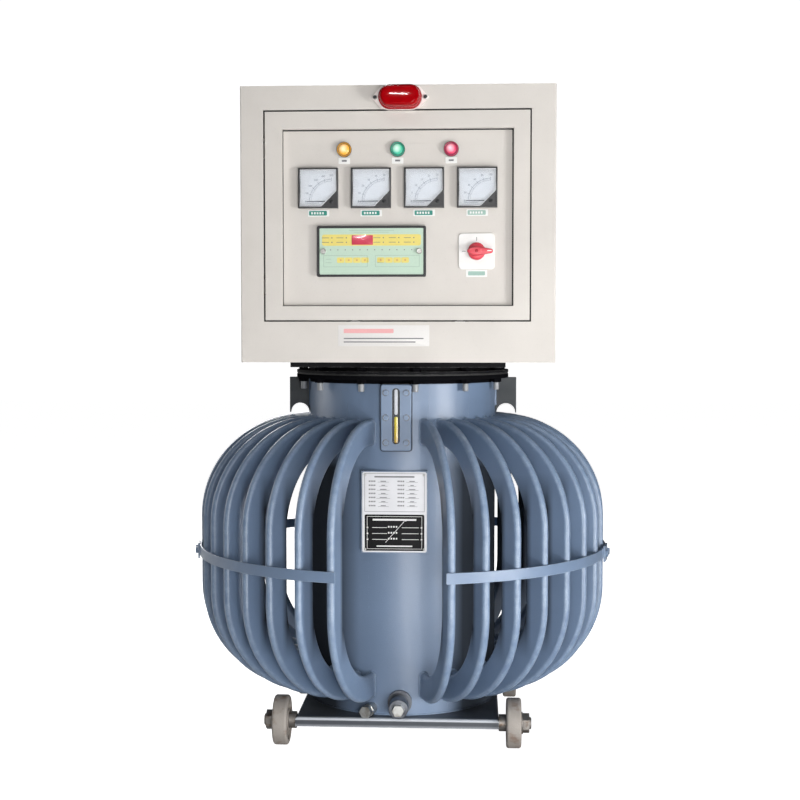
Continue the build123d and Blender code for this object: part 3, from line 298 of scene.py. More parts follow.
def clear(name, colour, roughness=0.03, haze=0.02):
    """Thin clear glass or acrylic: see-through head on, mirror-like at a glance, faintly smeared."""
    s = Surface(name, colour, roughness)
    glance = s.add("ShaderNodeLayerWeight", Blend=0.35).outputs["Fresnel"]
    smear = s.times(s.between(s.noise(25.0, 4.0), 0.45, 0.75), 0.03)
    s.feed(s.shader.inputs["Alpha"], s.math("ADD", s.math("ADD", glance, smear), haze, True))
    s.rough(s.noise(25.0, 4.0), roughness, roughness + 0.05)
    s.bump(s.noise(30.0, 2.0), 0.00004)
    return s.material


def red_lens_plastic():
    """Deep red acrylic of the beacon: glossy, darker in depth, with a pale pink painted highlight along its
    edges.
    """
    s = Surface("red_lens", (0.42, 0.001, 0.004), 0.05, Specular_IOR_Level=0.12)
    body = s.mix(s.noise(26.0), (0.24, 0.001, 0.003), (0.42, 0.001, 0.004))
    s.colour(s.mix(s.times(s.edges(0.0018), 0.75), body, (0.92, 0.40, 0.42)))
    s.bump(s.noise(60.0, 2.0), 0.00003)
    return s.material


def lamp_plastic(name, rim, middle, centre_x, centre_z, radius):
    """A milky pilot lens that glows faintly: a pale painted highlight a little up and left of its middle,
    saturated colour at its rim.
    """
    s = Surface(name, rim, 0.12, Coat_Weight=0.5, Coat_Roughness=0.05,
                Subsurface_Weight=0.3, Subsurface_Scale=0.004)
    x, _, z = s.separate()
    dx = s.math("SUBTRACT", x, centre_x - 0.002)
    dz = s.math("SUBTRACT", z, centre_z + 0.002)
    squared = s.math("ADD", s.times(dx, dx), s.times(dz, dz))
    reach = s.math("DIVIDE", s.math("SQRT", squared), radius)
    # the pale middle is a painted highlight; the emission below glows in the same tones
    tone = s.ramp(reach, (0.10, middle), (0.92, rim))
    s.colour(tone)
    s.feed(s.shader.inputs["Emission Color"], tone)
    s.set("Emission Strength", 0.35)
    rings = s.math("SINE", s.times(reach, 60.0))
    s.bump(rings, 0.00012, 0.6)
    return s.material


def layered(name, colour, roughness, metallic, patches, dark, light, layers, depth, strength):
    """Stacked sheets or wound turns: fine level ridges, layers of them per radian of height."""
    s = Surface(name, colour, roughness, metallic)
    ridges = s.math("SINE", s.times(s.separate()[2], layers))
    s.colour(s.mix(s.noise(patches), dark, light))
    s.bump(ridges, depth, strength)
    return s.material


CABINET = painted("cabinet_paint", (0.640, 0.605, 0.565), 0.60, 1400.0, 0.00010, coat=0.0)
TANK = tank_paint("tank_paint")
# the tube paint's wide edge radius paints a highlight on the tubes' rounded noses; its mask paints shade on
# their inner edges
TUBE_PAINT = tank_paint("tube_paint", (tube_inner_edge, PAINTED_SHADE), wear_and_sheen_radius=0.010)
# the shell paint lays painted shade on the tank's sides behind the tubes
SHELL_PAINT = tank_paint("shell_paint", (behind_tubes, PAINTED_SHADE), (on_flange, FLANGE_BLACK))
LUG_PAINT = painted("lug_paint", (0.022, 0.028, 0.033), 0.46, 650.0, 0.00020, (0.16, 0.19, 0.21), 0.05, 0.0)
BOLT_PAINT = painted("bolt_paint", (0.270, 0.280, 0.295), 0.36, masks=((on_flange, FLANGE_BLACK),))
DARK_STEEL = metal("dark_steel", (0.16, 0.17, 0.19), 0.34, stain=(0.07, 0.07, 0.08))
# the chassis paint's mask is a painted highlight, with rubbed paint, along the tray's front edges
CHASSIS = painted("chassis_paint", (0.046, 0.052, 0.064), 0.42, 500.0, 0.00025, (0.50, 0.52, 0.54), 0.10,
                  masks=((tray_front_edges, (0.56, 0.59, 0.63)),))
BLACK = painted("black_paint", (0.006, 0.006, 0.007), 0.60, 700.0, 0.00015, (0.10, 0.10, 0.10), 0.10,
                0.0, specular=0.08)
CAST = cast_iron()
ZINC = metal("zinc_plate", (0.58, 0.58, 0.56), 0.34, stain=(0.36, 0.34, 0.30))
STEEL = metal("machined_steel", (0.46, 0.46, 0.46), 0.26, (1, 1, 6))
OLD_STEEL = metal("weathered_steel", (0.30, 0.28, 0.26), 0.52, stain=(0.16, 0.10, 0.06))
RUBBER = rubber()
GLASS = clear("meter_glass", (0.80, 0.86, 0.94))
BEACON_RED = red_lens_plastic()
PALE = moulded("pale_plastic", (0.74, 0.72, 0.69), 0.38)
WHITE_PLASTIC = moulded("white_plastic", (0.82, 0.81, 0.79), 0.30)
BASE_WHITE = moulded("base_white", (0.86, 0.78, 0.75), 0.32)
DARK = moulded("dark_plastic", (0.020, 0.021, 0.023), 0.42)
METER_GREY = moulded("meter_grey", (0.036, 0.036, 0.038), 0.30)
# pale lines along the dark bezels' edges: a painted highlight
BEZEL_EDGE_HIGHLIGHT = moulded("bezel_edge_painted_highlight", (0.72, 0.73, 0.75), 0.25)
RED_PLASTIC = moulded("red_plastic", (0.70, 0.060, 0.085), 0.24)
DEEP_RED = moulded("deep_red_plastic", (0.42, 0.008, 0.020), 0.22)
# the dial glows a little though nothing lights it: painted light
DIAL_WHITE_PAINTED_GLOW = printed("dial_white_painted_glow", (0.95, 0.96, 0.97), 0.35, glow=0.12)
PLATE = moulded("plate_silver", (0.66, 0.66, 0.68), 0.42, Metallic=0.2)
LAMINATED = layered("laminations", (0.22, 0.22, 0.23), 0.5, 0.8, 40.0, (0.12, 0.12, 0.13),
                    (0.26, 0.25, 0.25), 9000.0, 0.0002, 0.6)
COPPER = layered("copper_coils", (0.42, 0.16, 0.07), 0.38, 0.7, 90.0, (0.30, 0.10, 0.04),
                 (0.55, 0.24, 0.10), 2600.0, 0.0004, 0.7)
INK = printed("ink_black", (0.004, 0.004, 0.005), 0.6)
INK_GREY = printed("ink_grey", (0.20, 0.20, 0.21), 0.5)
DIAL_INK = printed("dial_ink", (0.30, 0.32, 0.36), 0.5)
LABEL_WHITE = printed("label_white", (0.84, 0.84, 0.82), 0.4)
LABEL_GREEN = printed("label_green", (0.045, 0.270, 0.215), 0.4)
LABEL_GREEN_PALE = printed("label_green_pale", (0.34, 0.50, 0.44), 0.4)
LABEL_PINK = printed("label_pink", (0.80, 0.42, 0.42), 0.4)
FASCIA_GREEN = printed("fascia_green", (0.520, 0.665, 0.545), 0.32)
FASCIA_LINE = printed("fascia_line", (0.30, 0.42, 0.34), 0.4)
FASCIA_YELLOW = printed("fascia_yellow", (0.78, 0.66, 0.19), 0.34)
DISPLAY_RED = moulded("display_red", (0.62, 0.070, 0.115), 0.12, Coat_Weight=0.5)
GEARBOX_GREY = painted("gearbox_grey", (0.19, 0.21, 0.22), 0.45)


# ---- mesh helpers ----
def span(node):
    """A node's front outline: its middle in x and z, its width and its height."""
    low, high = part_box(node)
    return (low.x + high.x) / 2, (low.z + high.z) / 2, high.x - low.x, high.z - low.z


def new_object(name, data):
    made = bpy.data.objects.new(name, data)
    bpy.context.scene.collection.objects.link(made)
    return made


def from_bmesh(name, bm, material, body, sharp=35.0):
    """Turns a built mesh into a shown piece that rides on a body."""
    bmesh.ops.recalc_face_normals(bm, faces=bm.faces)
    for face in bm.faces:
        face.smooth = True
    mesh = bpy.data.meshes.new(name)
    bm.to_mesh(mesh)
    bm.free()
    mesh.set_sharp_from_angle(angle=radians(sharp))
    mesh.materials.append(material)
    piece = new_object(name, mesh)
    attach(piece, body)
    return piece


def loft(bm, rings, closed=False, caps=True):
    """Joins each ring of vertices to the next, and fills both ends unless the rings close on themselves."""
    pairs = list(zip(rings, rings[1:])) + ([(rings[-1], rings[0])] if closed else [])
    for a, b in pairs:
        for i in range(len(a)):
            j = (i + 1) % len(a)
            bm.faces.new((a[i], a[j], b[j], b[i]))
    if caps and not closed:
        bm.faces.new(rings[0])
        bm.faces.new(rings[-1])


def flat_ring(bm, points, y, x=0.0, z=0.0):
    """Vertices of an outline of (x, z) points, all at one y."""
    return [bm.verts.new((x + px, y, z + pz)) for px, pz in points]


def rounded_outline(width, height, radius, steps=6):
    """Corner points of a rounded rectangle about the origin, anticlockwise."""
    points = []
    corners = [(1, 1, 0), (-1, 1, 90), (-1, -1, 180), (1, -1, 270)]
    for sx, sz, start in corners:
        cx, cz = sx * (width / 2 - radius), sz * (height / 2 - radius)
        for i in range(steps + 1):
            a = radians(start + 90 * i / steps)
            points.append((cx + radius * cos(a), cz + radius * sin(a)))
    return points


def add_slab(bm, outline, x, z, y_front, y_back, bevel=0.0):
    """A plate with this outline in X and Z, its front edge rolled over by bevel."""
    half_w, half_h = (max(abs(p[axis]) for p in outline) for axis in (0, 1))
    turns = [radians(t) for t in ((0, 30, 60, 90) if bevel else (0,))]
    layers = [(0.0, y_back)] + [(bevel * (1 - cos(t)), y_front + bevel * (1 - sin(t))) for t in turns]
    rings = []
    for inset, y in layers:
        moved = [(px * (half_w - inset) / half_w, pz * (half_h - inset) / half_h) for px, pz in outline]
        rings.append(flat_ring(bm, moved, y, x, z))
    loft(bm, rings)


def slab_piece(name, size, x, z, y_front, y_back, bevel, material, body):
    """One plate; its size is (width, height, corner)."""
    bm = bmesh.new()
    add_slab(bm, rounded_outline(*size), x, z, y_front, y_back, bevel)
    return from_bmesh(name, bm, material, body)


def bars_piece(name, bars, y, material, body, depth=0.0002):
    """Printed bars: each is (x, z, width, height) about its middle, a hair proud of y."""
    bm = bmesh.new()
    for x, z, width, height in bars:
        corner = min(width, height) * 0.18
        add_slab(bm, rounded_outline(width, height, corner, 2), x, z, y - depth, y)
    return from_bmesh(name, bm, material, body)


POINT = 1e-7             # a circle smaller than this is one point


def circle(radius, sides):
    """Points of a circle about the origin, anticlockwise."""
    if radius < POINT:
        return [(0.0, 0.0)]
    return [(radius * cos(2 * pi * i / sides), radius * sin(2 * pi * i / sides)) for i in range(sides)]


def lathe(bm, profile, x, z, sides=48):
    """Turns a profile of (radius, y) points about an axis along Y."""
    rings = [flat_ring(bm, circle(radius, sides), y, x, z) for radius, y in profile]
    for a, b in zip(rings, rings[1:]):
        for i in range(sides):
            j = (i + 1) % sides
            corners = [a[i % len(a)], a[j % len(a)], b[j % len(b)], b[i % len(b)]]
            unique = list(dict.fromkeys(corners))
            if len(unique) > 2:
                bm.faces.new(unique)


def turned_piece(name, profile, places, material, body, sides=48, sharp=35.0):
    """The same profile turned at each (x, z) place, as one piece."""
    bm = bmesh.new()
    for x, z in places:
        lathe(bm, profile, x, z, sides)
    return from_bmesh(name, bm, material, body, sharp)


def sweep_tube(bm, points, radius, sides=10, closed=False, ripple=0.0):
    """A round tube along points, with an optional weld ripple."""
    count = len(points)
    rings = []
    for i, point in enumerate(points):
        before = points[i - 1] if (i or closed) else point
        after = points[(i + 1) % count] if (i + 1 < count or closed) else point
        along = (after - before).normalized()
        side = along.cross(Vector((0.13, 0.27, 0.95))).normalized()
        up = side.cross(along).normalized()
        r = radius * (1 + ripple * (1 if i % 2 else -1))
        rings.append([bm.verts.new(point + side * u + up * v) for u, v in circle(r, sides)])
    loft(bm, rings, closed)


def add_number(bm, value, size, x, z, y):
    """Adds flat numerals, facing -Y and centred on x and z, to a mesh."""
    curve = bpy.data.curves.new("numerals", "FONT")
    curve.body = str(value)
    curve.size = size
    curve.align_x = "CENTER"
    curve.align_y = "CENTER"
    curve.extrude = 0.00008
    holder = new_object("numerals", curve)
    bpy.context.view_layer.update()
    mesh = bpy.data.meshes.new_from_object(holder.evaluated_get(bpy.context.evaluated_depsgraph_get()))
    mesh.transform(Matrix.Translation((x, y, z)) @ Matrix.Rotation(radians(90), 4, "X"))
    bm.from_mesh(mesh)
    bpy.data.objects.remove(holder)
    bpy.data.curves.remove(curve)
    bpy.data.meshes.remove(mesh)


def dress(node, material, bevel):
    """Gives a CAD node its material, and a small round on its hard edges."""
    obj = NODES[node]
    obj.data.materials.clear()
    obj.data.materials.append(material)
    for polygon in obj.data.polygons:
        polygon.material_index = 0
        polygon.use_smooth = True
    if "custom_normal" in obj.data.attributes:
        obj.data.attributes.remove(obj.data.attributes["custom_normal"])
    weld = obj.modifiers.new("weld", "WELD")
    weld.merge_threshold = 0.00001
    if bevel:
        roll = obj.modifiers.new("round", "BEVEL")
        roll.width = bevel
        roll.segments = 2
        roll.limit_method = "ANGLE"
        roll.angle_limit = radians(30.0)
    level = obj.modifiers.new("normals", "WEIGHTED_NORMAL")
    level.keep_sharp = True


# ---- CAD nodes whose shape stays ----
DRESSED = {
    SHELL_PAINT: {"tank_shell": 0.0010},
    TUBE_PAINT: {"cooling_tubes": 0.0},
    LUG_PAINT: {"lifting_lugs": 0.0010},
    TANK: {
        "tube_band": 0.0008, "band_clamps": 0.0006, "oil_gauge_frame": 0.0005, "gauge_bolts": 0.0004,
        "nameplate_bracket": 0.0008,
    },
    CABINET: {
        "cabinet_shell": 0.0009, "back_cover": 0.0006, "door_frame": 0.0009, "instrument_panel": 0.0004,
        "hinge_arms": 0.0004, "hinge_brackets": 0.0005, "mounting_plate": 0.0005, "motor_bracket": 0.0006,
    },
    CHASSIS: {"chassis": 0.0010},
    BLACK: {"cabinet_plinth": 0.0008, "tank_cover": 0.0008},
    CAST: {name: 0.0012 for name in NODES if name.startswith("wheel_")},
    OLD_STEEL: {"axle_nuts": 0.0008, "stub_axles": 0.0008},
    ZINC: {
        "earth_terminal": 0.0006, "drain_plug": 0.0006, "case_screws": 0.0002, "controller_screws": 0.0003,
    },
    BOLT_PAINT: {"cover_bolts": 0.0006},
    DARK_STEEL: {"drain_valve": 0.0006},
    STEEL: {"rotor_shaft": 0.0006, "main_gear": 0.0002, "drive_pinion": 0.0002, "shaft_bearings": 0.0006},
    RUBBER: {"cover_gasket": 0.0004},
    GLASS: {"meter_windows": 0.0002, "oil_gauge_glass": 0.0003},
    METER_GREY: {"meter_bezels": 0.0004},
    DARK: {
        "meter_cases": 0.0006, "controller_case": 0.0004, "contactors": 0.0006, "lamp_bezels": 0.0003,
        **{name: 0.0 for name in NODES if name.startswith("meter_needle_")},
    },
    DIAL_WHITE_PAINTED_GLOW: {"meter_dials": 0.0},
    WHITE_PLASTIC: {"switch_housing": 0.0008},
    BASE_WHITE: {"beacon_base": 0.0008},
    PLATE: {"nameplate": 0.0003},
    FASCIA_GREEN: {"controller_fascia": 0.0002},
    LABEL_WHITE: {"panel_labels": 0.0001},
    LAMINATED: {"stator_core": 0.0003, "rotor_core": 0.0003},
    COPPER: {"stator_windings": 0.0010},
    GEARBOX_GREY: {"gearmotor": 0.0010},
}


def dress_cad_nodes():
    for material, nodes in DRESSED.items():
        for node, bevel in nodes.items():
            dress(node, material, bevel)


# ---- tank details ----
TANK_R = 0.198
TUBE_DEPTH, TUBE_WIDTH = 0.052, 0.016
TUBE_HEIGHTS = (0.636, 0.122)
TUBE_FIRST, TUBE_PITCH, TUBES_PER_SIDE = 15.5, 9.3125, 18
TUBE_LEFT_OUT = 13       # the place on the left that has no tube


def tube_angles():
    """Where the tubes stand round the tank, in degrees from its front."""
    places = [TUBE_FIRST + i * TUBE_PITCH for i in range(TUBES_PER_SIDE)]
    return places + [-angle for i, angle in enumerate(places) if i != TUBE_LEFT_OUT]


def stadium_point(t):
    """A point of the tube's flat-oval outline, t from 0 to 1, as (across, up)."""
    r = TUBE_WIDTH / 2
    straight = TUBE_DEPTH - TUBE_WIDTH
    s = t * 2 * (straight + pi * r)
    if s < straight:
        return r, -straight / 2 + s
    s -= straight
    if s < pi * r:
        return r * cos(s / r), straight / 2 + r * sin(s / r)
    s -= pi * r
    if s < straight:
        return -r, straight / 2 - s
    s -= straight
    return -r * cos(s / r), -straight / 2 - r * sin(s / r)


def upright(x, y, z0, z1, steps):
    """Points up a straight seam."""
    return [Vector((x, y, z0 + (z1 - z0) * i / steps)) for i in range(steps + 1)]


def tube_welds():
    """The rippled weld bead round each end of each cooling tube."""
    bm = bmesh.new()
    steps = 56
    for angle in tube_angles():
        out = Vector((sin(radians(angle)), -cos(radians(angle)), 0))
        across = Vector((cos(radians(angle)), sin(radians(angle)), 0))
        for height in TUBE_HEIGHTS:
            points = []
            for i in range(steps):
                u, v = stadium_point(i / steps)
                reach = sqrt(TANK_R ** 2 - u * u) + 0.0006
                points.append(out * reach + across * u * 1.07 + Vector((0, 0, height + v * 1.02)))
            sweep_tube(bm, points, 0.0022, 8, True, 0.13)
    from_bmesh("tube_welds", bm, TANK, "regulator", 60)


def tank_seams():
    """The rolled shell's upright seam behind, and the welds at its foot and under its flange."""
    bm = bmesh.new()
    for z, proud, bead in ((0.0622, 0.0003, 0.0017), (0.7415, 0.0005, 0.0028)):
        ring = [Vector((v, -u, z)) for u, v in circle(TANK_R + proud, 300)]
        sweep_tube(bm, ring, bead, 8, True, 0.08)
    sweep_tube(bm, upright(0.0, TANK_R - 0.0004, 0.066, 0.738, 260), 0.0030, 8, False, 0.10)
    from_bmesh("tank_seams", bm, SHELL_PAINT, "regulator", 60)


def lug_welds():
    """Fillet welds down both faces of each lifting lug."""
    bm = bmesh.new()
    low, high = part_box("lifting_lugs")
    half, z0, z1 = (high.y - low.y) / 2, low.z + 0.016, high.z - 0.002
    for side in (-1, 1):
        for face in (-1, 1):
            y = face * (half + 0.0006)
            x = side * (sqrt(TANK_R ** 2 - y * y) + 0.0006)
            sweep_tube(bm, upright(x, y, z0, z1, 40), 0.0026, 8, False, 0.12)
    from_bmesh("lug_welds", bm, TANK, "regulator", 60)


OIL_LEVEL = 0.6705
GAUGE_BOLT_HALF, GAUGE_WASHER_R = 0.005, 0.0068


def oil_sight_tube():
    """The gauge's glass tube: white above, yellow oil below, each a flattened column with domed ends."""
    low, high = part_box("oil_gauge_glass")
    x, y, radius = (low.x + high.x) / 2, (low.y + high.y) / 2 + 0.0035, (high.x - low.x) / 2 - 0.0006
    white = printed("sight_white", (0.86, 0.87, 0.90), 0.15)
    oil = Surface("sight_oil", (0.72, 0.56, 0.02), 0.10, Coat_Weight=1.0, Coat_Roughness=0.03)
    stops = ((0.0, (0.34, 0.11, 0.01)), (0.12, (0.72, 0.46, 0.01)), (0.9, (0.90, 0.76, 0.02)))
    oil.colour(oil.ramp(oil.between(oil.separate()[2], low.z, OIL_LEVEL), *stops))
    oil.bump(oil.noise(50.0), 0.00002)
    for name, z0, z1, material in (
        ("gauge_air", OIL_LEVEL, high.z - 0.001, white),
        ("gauge_oil", low.z + 0.001, OIL_LEVEL, oil.material),
    ):
        foot = [(0.55, z0), (0.9, z0 + radius * 0.2), (1.0, z0 + radius * 0.5)]
        layers = foot + [(scale, z0 + z1 - z) for scale, z in reversed(foot)]
        bm = bmesh.new()
        loft(bm, [
            [bm.verts.new((x + u, y + 0.45 * v, z)) for u, v in circle(radius * k, 28)] for k, z in layers
        ])
        from_bmesh(name, bm, material, "regulator")


def gauge_fittings():
    """Washers under the gauge's bolts and a gasket round its frame: parts made dark and set back to paint the
    shade that outlines bolts and frame.
    """
    low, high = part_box("gauge_bolts")
    places = [
        (x, z) for x in (low.x + GAUGE_BOLT_HALF, high.x - GAUGE_BOLT_HALF)
        for z in (low.z + GAUGE_BOLT_HALF, (low.z + high.z) / 2, high.z - GAUGE_BOLT_HALF)
    ]
    profile = [(GAUGE_WASHER_R, GAUGE_FACE + 0.0004), (GAUGE_WASHER_R, GAUGE_FACE - 0.0007),
               (0.0030, GAUGE_FACE - 0.0007)]
    turned_piece("gauge_washers_and_shade_rings", profile, places, DARK_STEEL, "regulator", 24)
    x, z, width, height = span("oil_gauge_frame")
    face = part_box("oil_gauge_frame")[0].y + 0.0050
    slab_piece("gauge_gasket_and_shade_line", (width + 0.0030, height + 0.0030, 0.0070), x, z, face, face + 0.0025, 0.0004,
               RUBBER, "regulator")


def border(x, z, width, height, line=0.0008):
    """Four thin bars round a field, as (x, z, width, height)."""
    level = [(x, z + side * height / 2, width, line) for side in (-1, 1)]
    return level + [(x + side * width / 2, z, line, height) for side in (-1, 1)]


def nameplate_print():
    """A made-up rating plate: rows of plain bars above, a line diagram on black below."""
    low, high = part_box("nameplate")
    x, _, width, height = span("nameplate")
    face, split = low.y, low.z + height * 0.49
    rows = border(x, (split + high.z) / 2, width - 0.010, high.z - split - 0.006)
    rows.append((x, high.z - 0.0095, width * 0.62, 0.0030))
    for column_x in (-0.029, 0.029):
        for i, length in enumerate((0.70, 0.46, 0.82, 0.58, 0.90, 0.52, 0.66)):
            z = high.z - 0.0185 - i * 0.0082
            rows += [(x + column_x - 0.0215 + j * 0.0036, z, 0.0026, 0.0030) for j in range(4)]
            rows.append((x + column_x + 0.0065, z - 0.0018, 0.024 * length + 0.006, 0.0006))
            rows.append((x + column_x + 0.0065, z, 0.016 * length, 0.0016))
    bars_piece("nameplate_rows", rows, face, INK_GREY, "regulator")
    foot, panel = low.z + 0.003, split - low.z - 0.006
    slab_piece("nameplate_black", (width - 0.010, panel, 0.003), x, foot + panel / 2,
               face - 0.0003, face, 0.0001, INK, "regulator")
    nameplate_diagram(x, foot, panel, width, face - 0.0003)
    bm = bmesh.new()
    for side in (-1, 1):
        for z in (low.z + 0.006, high.z - 0.006):
            add_rivet(bm, x + side * (width / 2 - 0.006), z, face, 0.0026)
    from_bmesh("nameplate_rivets", bm, ZINC, "regulator")


def nameplate_diagram(x, z0, height, width, face):
    """Three winding lines crossed by a regulating arrow, inside a white border."""
    bars = border(x, z0 + height / 2, width - 0.020, height - 0.008)
    bars += [(x, z0 + height - 0.0105, 0.088, 0.0036), (x, z0 + 0.0095, 0.072, 0.0026)]
    for i in range(3):
        z = z0 + 0.023 + i * 0.012
        bars += [(x - 0.030, z, 0.030, 0.0011), (x + 0.032, z, 0.034, 0.0011)]
        bars += [(x - 0.0115 + k * 0.0052, z + 0.0016, 0.0030, 0.0034) for k in range(4)]
        bars += [(x + side * 0.0545, z, 0.0032, 0.0032) for side in (-1, 1)]
    bars_piece("nameplate_lines", bars, face, LABEL_WHITE, "regulator", 0.0003)
    bm = bmesh.new()
    start = Vector((x - 0.018, face - 0.0005, z0 + 0.017))
    end = Vector((x + 0.020, face - 0.0005, z0 + 0.060))
    sweep_tube(bm, [start, (start + end) / 2, end], 0.0006, 6)
    tip = [end + Vector((px, 0, pz)) for px, pz in ((-0.0005, 0.0035), (0.0035, -0.0015), (0.0045, 0.0050))]
    loft(bm, [[bm.verts.new(p + Vector((0, back, 0))) for p in tip] for back in (0.0, 0.0004)])
    from_bmesh("nameplate_arrow", bm, LABEL_WHITE, "regulator")


def add_rivet(bm, x, z, face, radius):
    """A domed rivet head on a face that looks towards -Y."""
    turns = [radians(a) for a in (0, 25, 50, 75, 90)]
    profile = [(radius * cos(a), face - radius * 0.55 * sin(a)) for a in turns]
    lathe(bm, [(radius, face + 0.0004)] + profile, x, z, 20)


# ---- door instruments ----
METER_XS = (-0.159, -0.053, 0.053, 0.159)
METER_Z = 1.1255
METER_HALF = 0.036
METER_CORNER = 0.030     # the bezel's corner cover, along each edge
METER_LABEL_Z, LAMP_LABEL_Z, SWITCH_LABEL_Z = 1.0760, 1.180, 0.955
NEEDLE_PIVOT = 0.026
BEZEL_SCREW = 0.0372
DIAL_DIVISIONS = 25
DIAL_STEPS = (100, 10, 5, 20)
SWITCH_X, SWITCH_Z = 0.158, 0.999


def meter_scales():
    """The printed arc, ticks and numerals of each dial, centred on the needle's pivot."""
    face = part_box("meter_dials")[0].y
    for number, (x, step) in enumerate(zip(METER_XS, DIAL_STEPS), start=1):
        bm = bmesh.new()
        px, pz = x + NEEDLE_PIVOT, METER_Z - NEEDLE_PIVOT
        add_arc(bm, px, pz, 0.0440, 0.0446, face)
        add_arc(bm, px, pz, 0.0400, 0.0403, face)
        for i in range(DIAL_DIVISIONS + 1):
            reach, width = (0.0445, 0.0003) if i % 5 else (0.0475, 0.0007)
            add_tick(bm, px, pz, 0.0403, reach, 90 * i / DIAL_DIVISIONS, face, width)
        for i in range(6):
            a = radians(90 * i / 5)
            r = 0.0525 if 0 < i < 5 else 0.0515
            tx = max(px - r * cos(a), x - METER_HALF + 0.0055)
            tz = min(pz + r * sin(a), METER_Z + METER_HALF - 0.0040)
            add_number(bm, i * step, 0.0052, tx, tz, face - 0.00015)
        for dx, dz, width, height in ((-0.010, -0.0265, 0.034, 0.0009), (-0.013, -0.0295, 0.028, 0.0006)):
            outline = rounded_outline(width, height, height * 0.2, 1)
            add_slab(bm, outline, x + dx, METER_Z + dz, face - 0.0001, face)
        from_bmesh(f"meter_scale_{number}", bm, DIAL_INK, "door")


def add_arc(bm, px, pz, r0, r1, face, steps=40):
    """A quarter ring from the left of the pivot to above it."""
    section = ((r0, face - 0.0001), (r1, face - 0.0001), (r1, face), (r0, face))
    angles = [radians(90 * i / steps) for i in range(steps + 1)]
    loft(bm, [[bm.verts.new((px - r * cos(a), y, pz + r * sin(a))) for r, y in section] for a in angles])


def add_tick(bm, px, pz, r0, r1, angle, face, width):
    """A short line that points at the pivot, from r0 to r1."""
    a = radians(angle)
    along, across = Vector((-cos(a), sin(a))), Vector((sin(a), cos(a))) * width / 2
    pivot = Vector((px, pz))
    flat = [pivot + along * r + across * side for r, side in ((r0, -1), (r1, -1), (r1, 1), (r0, 1))]
    loft(bm, [flat_ring(bm, flat, y) for y in (face - 0.00012, face)])


def meter_hardware():
    """Each bezel's corner screws, zero screw, window edge and the ridge along its corner cover; edge and
    ridge are pale, a painted highlight.
    """
    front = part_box("meter_bezels")[0].y
    screws, slots, ridges, edges = (bmesh.new() for _ in range(4))
    for x in METER_XS:
        left, right, foot, top = x - METER_HALF, x + METER_HALF, METER_Z - METER_HALF, METER_Z + METER_HALF
        for side in (-1, 1):
            add_screw(screws, slots, x + side * BEZEL_SCREW, METER_Z + BEZEL_SCREW, front, 0.0016)
        add_screw(screws, slots, x + 0.0270, METER_Z - 0.0270, front + 0.001, 0.0042)
        a = Vector((right - METER_CORNER, front + 0.0009, foot))
        b = Vector((right, front + 0.0009, foot + METER_CORNER))
        sweep_tube(ridges, [a, (a + b) / 2, b], 0.0009, 8)
        loop = [(right, foot + METER_CORNER), (right, top), (left, top), (left, foot),
                (right - METER_CORNER, foot)]
        sweep_tube(edges, [Vector((px, front + 0.0003, pz)) for px, pz in loop], 0.0010, 6)
    for name, bm, material in (
        ("meter_screws", screws, DARK), ("meter_screw_slots", slots, INK),
        ("meter_corner_ridges", ridges, BEZEL_EDGE_HIGHLIGHT), ("meter_window_edges", edges, BEZEL_EDGE_HIGHLIGHT),
    ):
        from_bmesh(name, bm, material, "door")


def add_screw(heads, slots, x, z, face, radius):
    """A pan-head screw and the dark slot across it."""
    turns = [radians(a) for a in (0, 30, 60, 90)]
    head = radius * 0.35
    crown = [(radius - head * (1 - cos(a)), face - head * sin(a)) for a in turns]
    lathe(heads, [(radius, face + 0.0005)] + crown + [(0.0, face - head)], x, z, 24)
    turn = radians(38)
    along = Vector((cos(turn), 0, sin(turn))) * radius * 0.8
    middle = Vector((x, face - radius * 0.33, z))
    sweep_tube(slots, [middle - along, middle, middle + along], radius * 0.16, 6)


# name, x, rim colour, and the pale colour of the painted highlight in the lens's middle
LAMPS = (
    ("amber", -0.107, (0.86, 0.42, 0.05), (0.92, 0.80, 0.50)),
    ("green", 0.0, (0.05, 0.46, 0.30), (0.66, 0.88, 0.76)),
    ("red", 0.107, (0.62, 0.04, 0.12), (0.92, 0.58, 0.64)),
)


def pilot_lamps():
    """Domed lenses with a coloured collar inside each dark bezel."""
    low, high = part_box("lamp_lenses")
    _, z, _, diameter = span("lamp_lenses")
    radius, shoulder, dome = diameter / 2, low.y + 0.0042, 0.0042
    crown = [
        (radius * cos(radians(a * 0.96)), shoulder - dome * sin(radians(a))) for a in range(15, 91, 15)
    ]
    lens = [(radius, high.y), (radius, shoulder)] + crown + [(0.0, low.y)]
    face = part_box("lamp_bezels")[0].y
    section = ((0.0003, 0.0010), (0.0008, -0.0008), (0.0026, -0.0010), (0.0034, -0.0001), (0.0036, 0.0014))
    collar = [(radius + out, face + back) for out, back in section]
    for name, x, rim, middle in LAMPS:
        lit = lamp_plastic(f"lamp_{name}", rim, middle, x, z, radius)
        turned_piece(f"lamp_lens_{name}", lens, [(x, z)], lit, "door", 48, 60)
        tint = moulded(f"collar_{name}", darker(rim, 0.60), 0.22)
        turned_piece(f"lamp_collar_{name}", collar, [(x, z)], tint, "door")
    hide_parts("lamp_lenses")


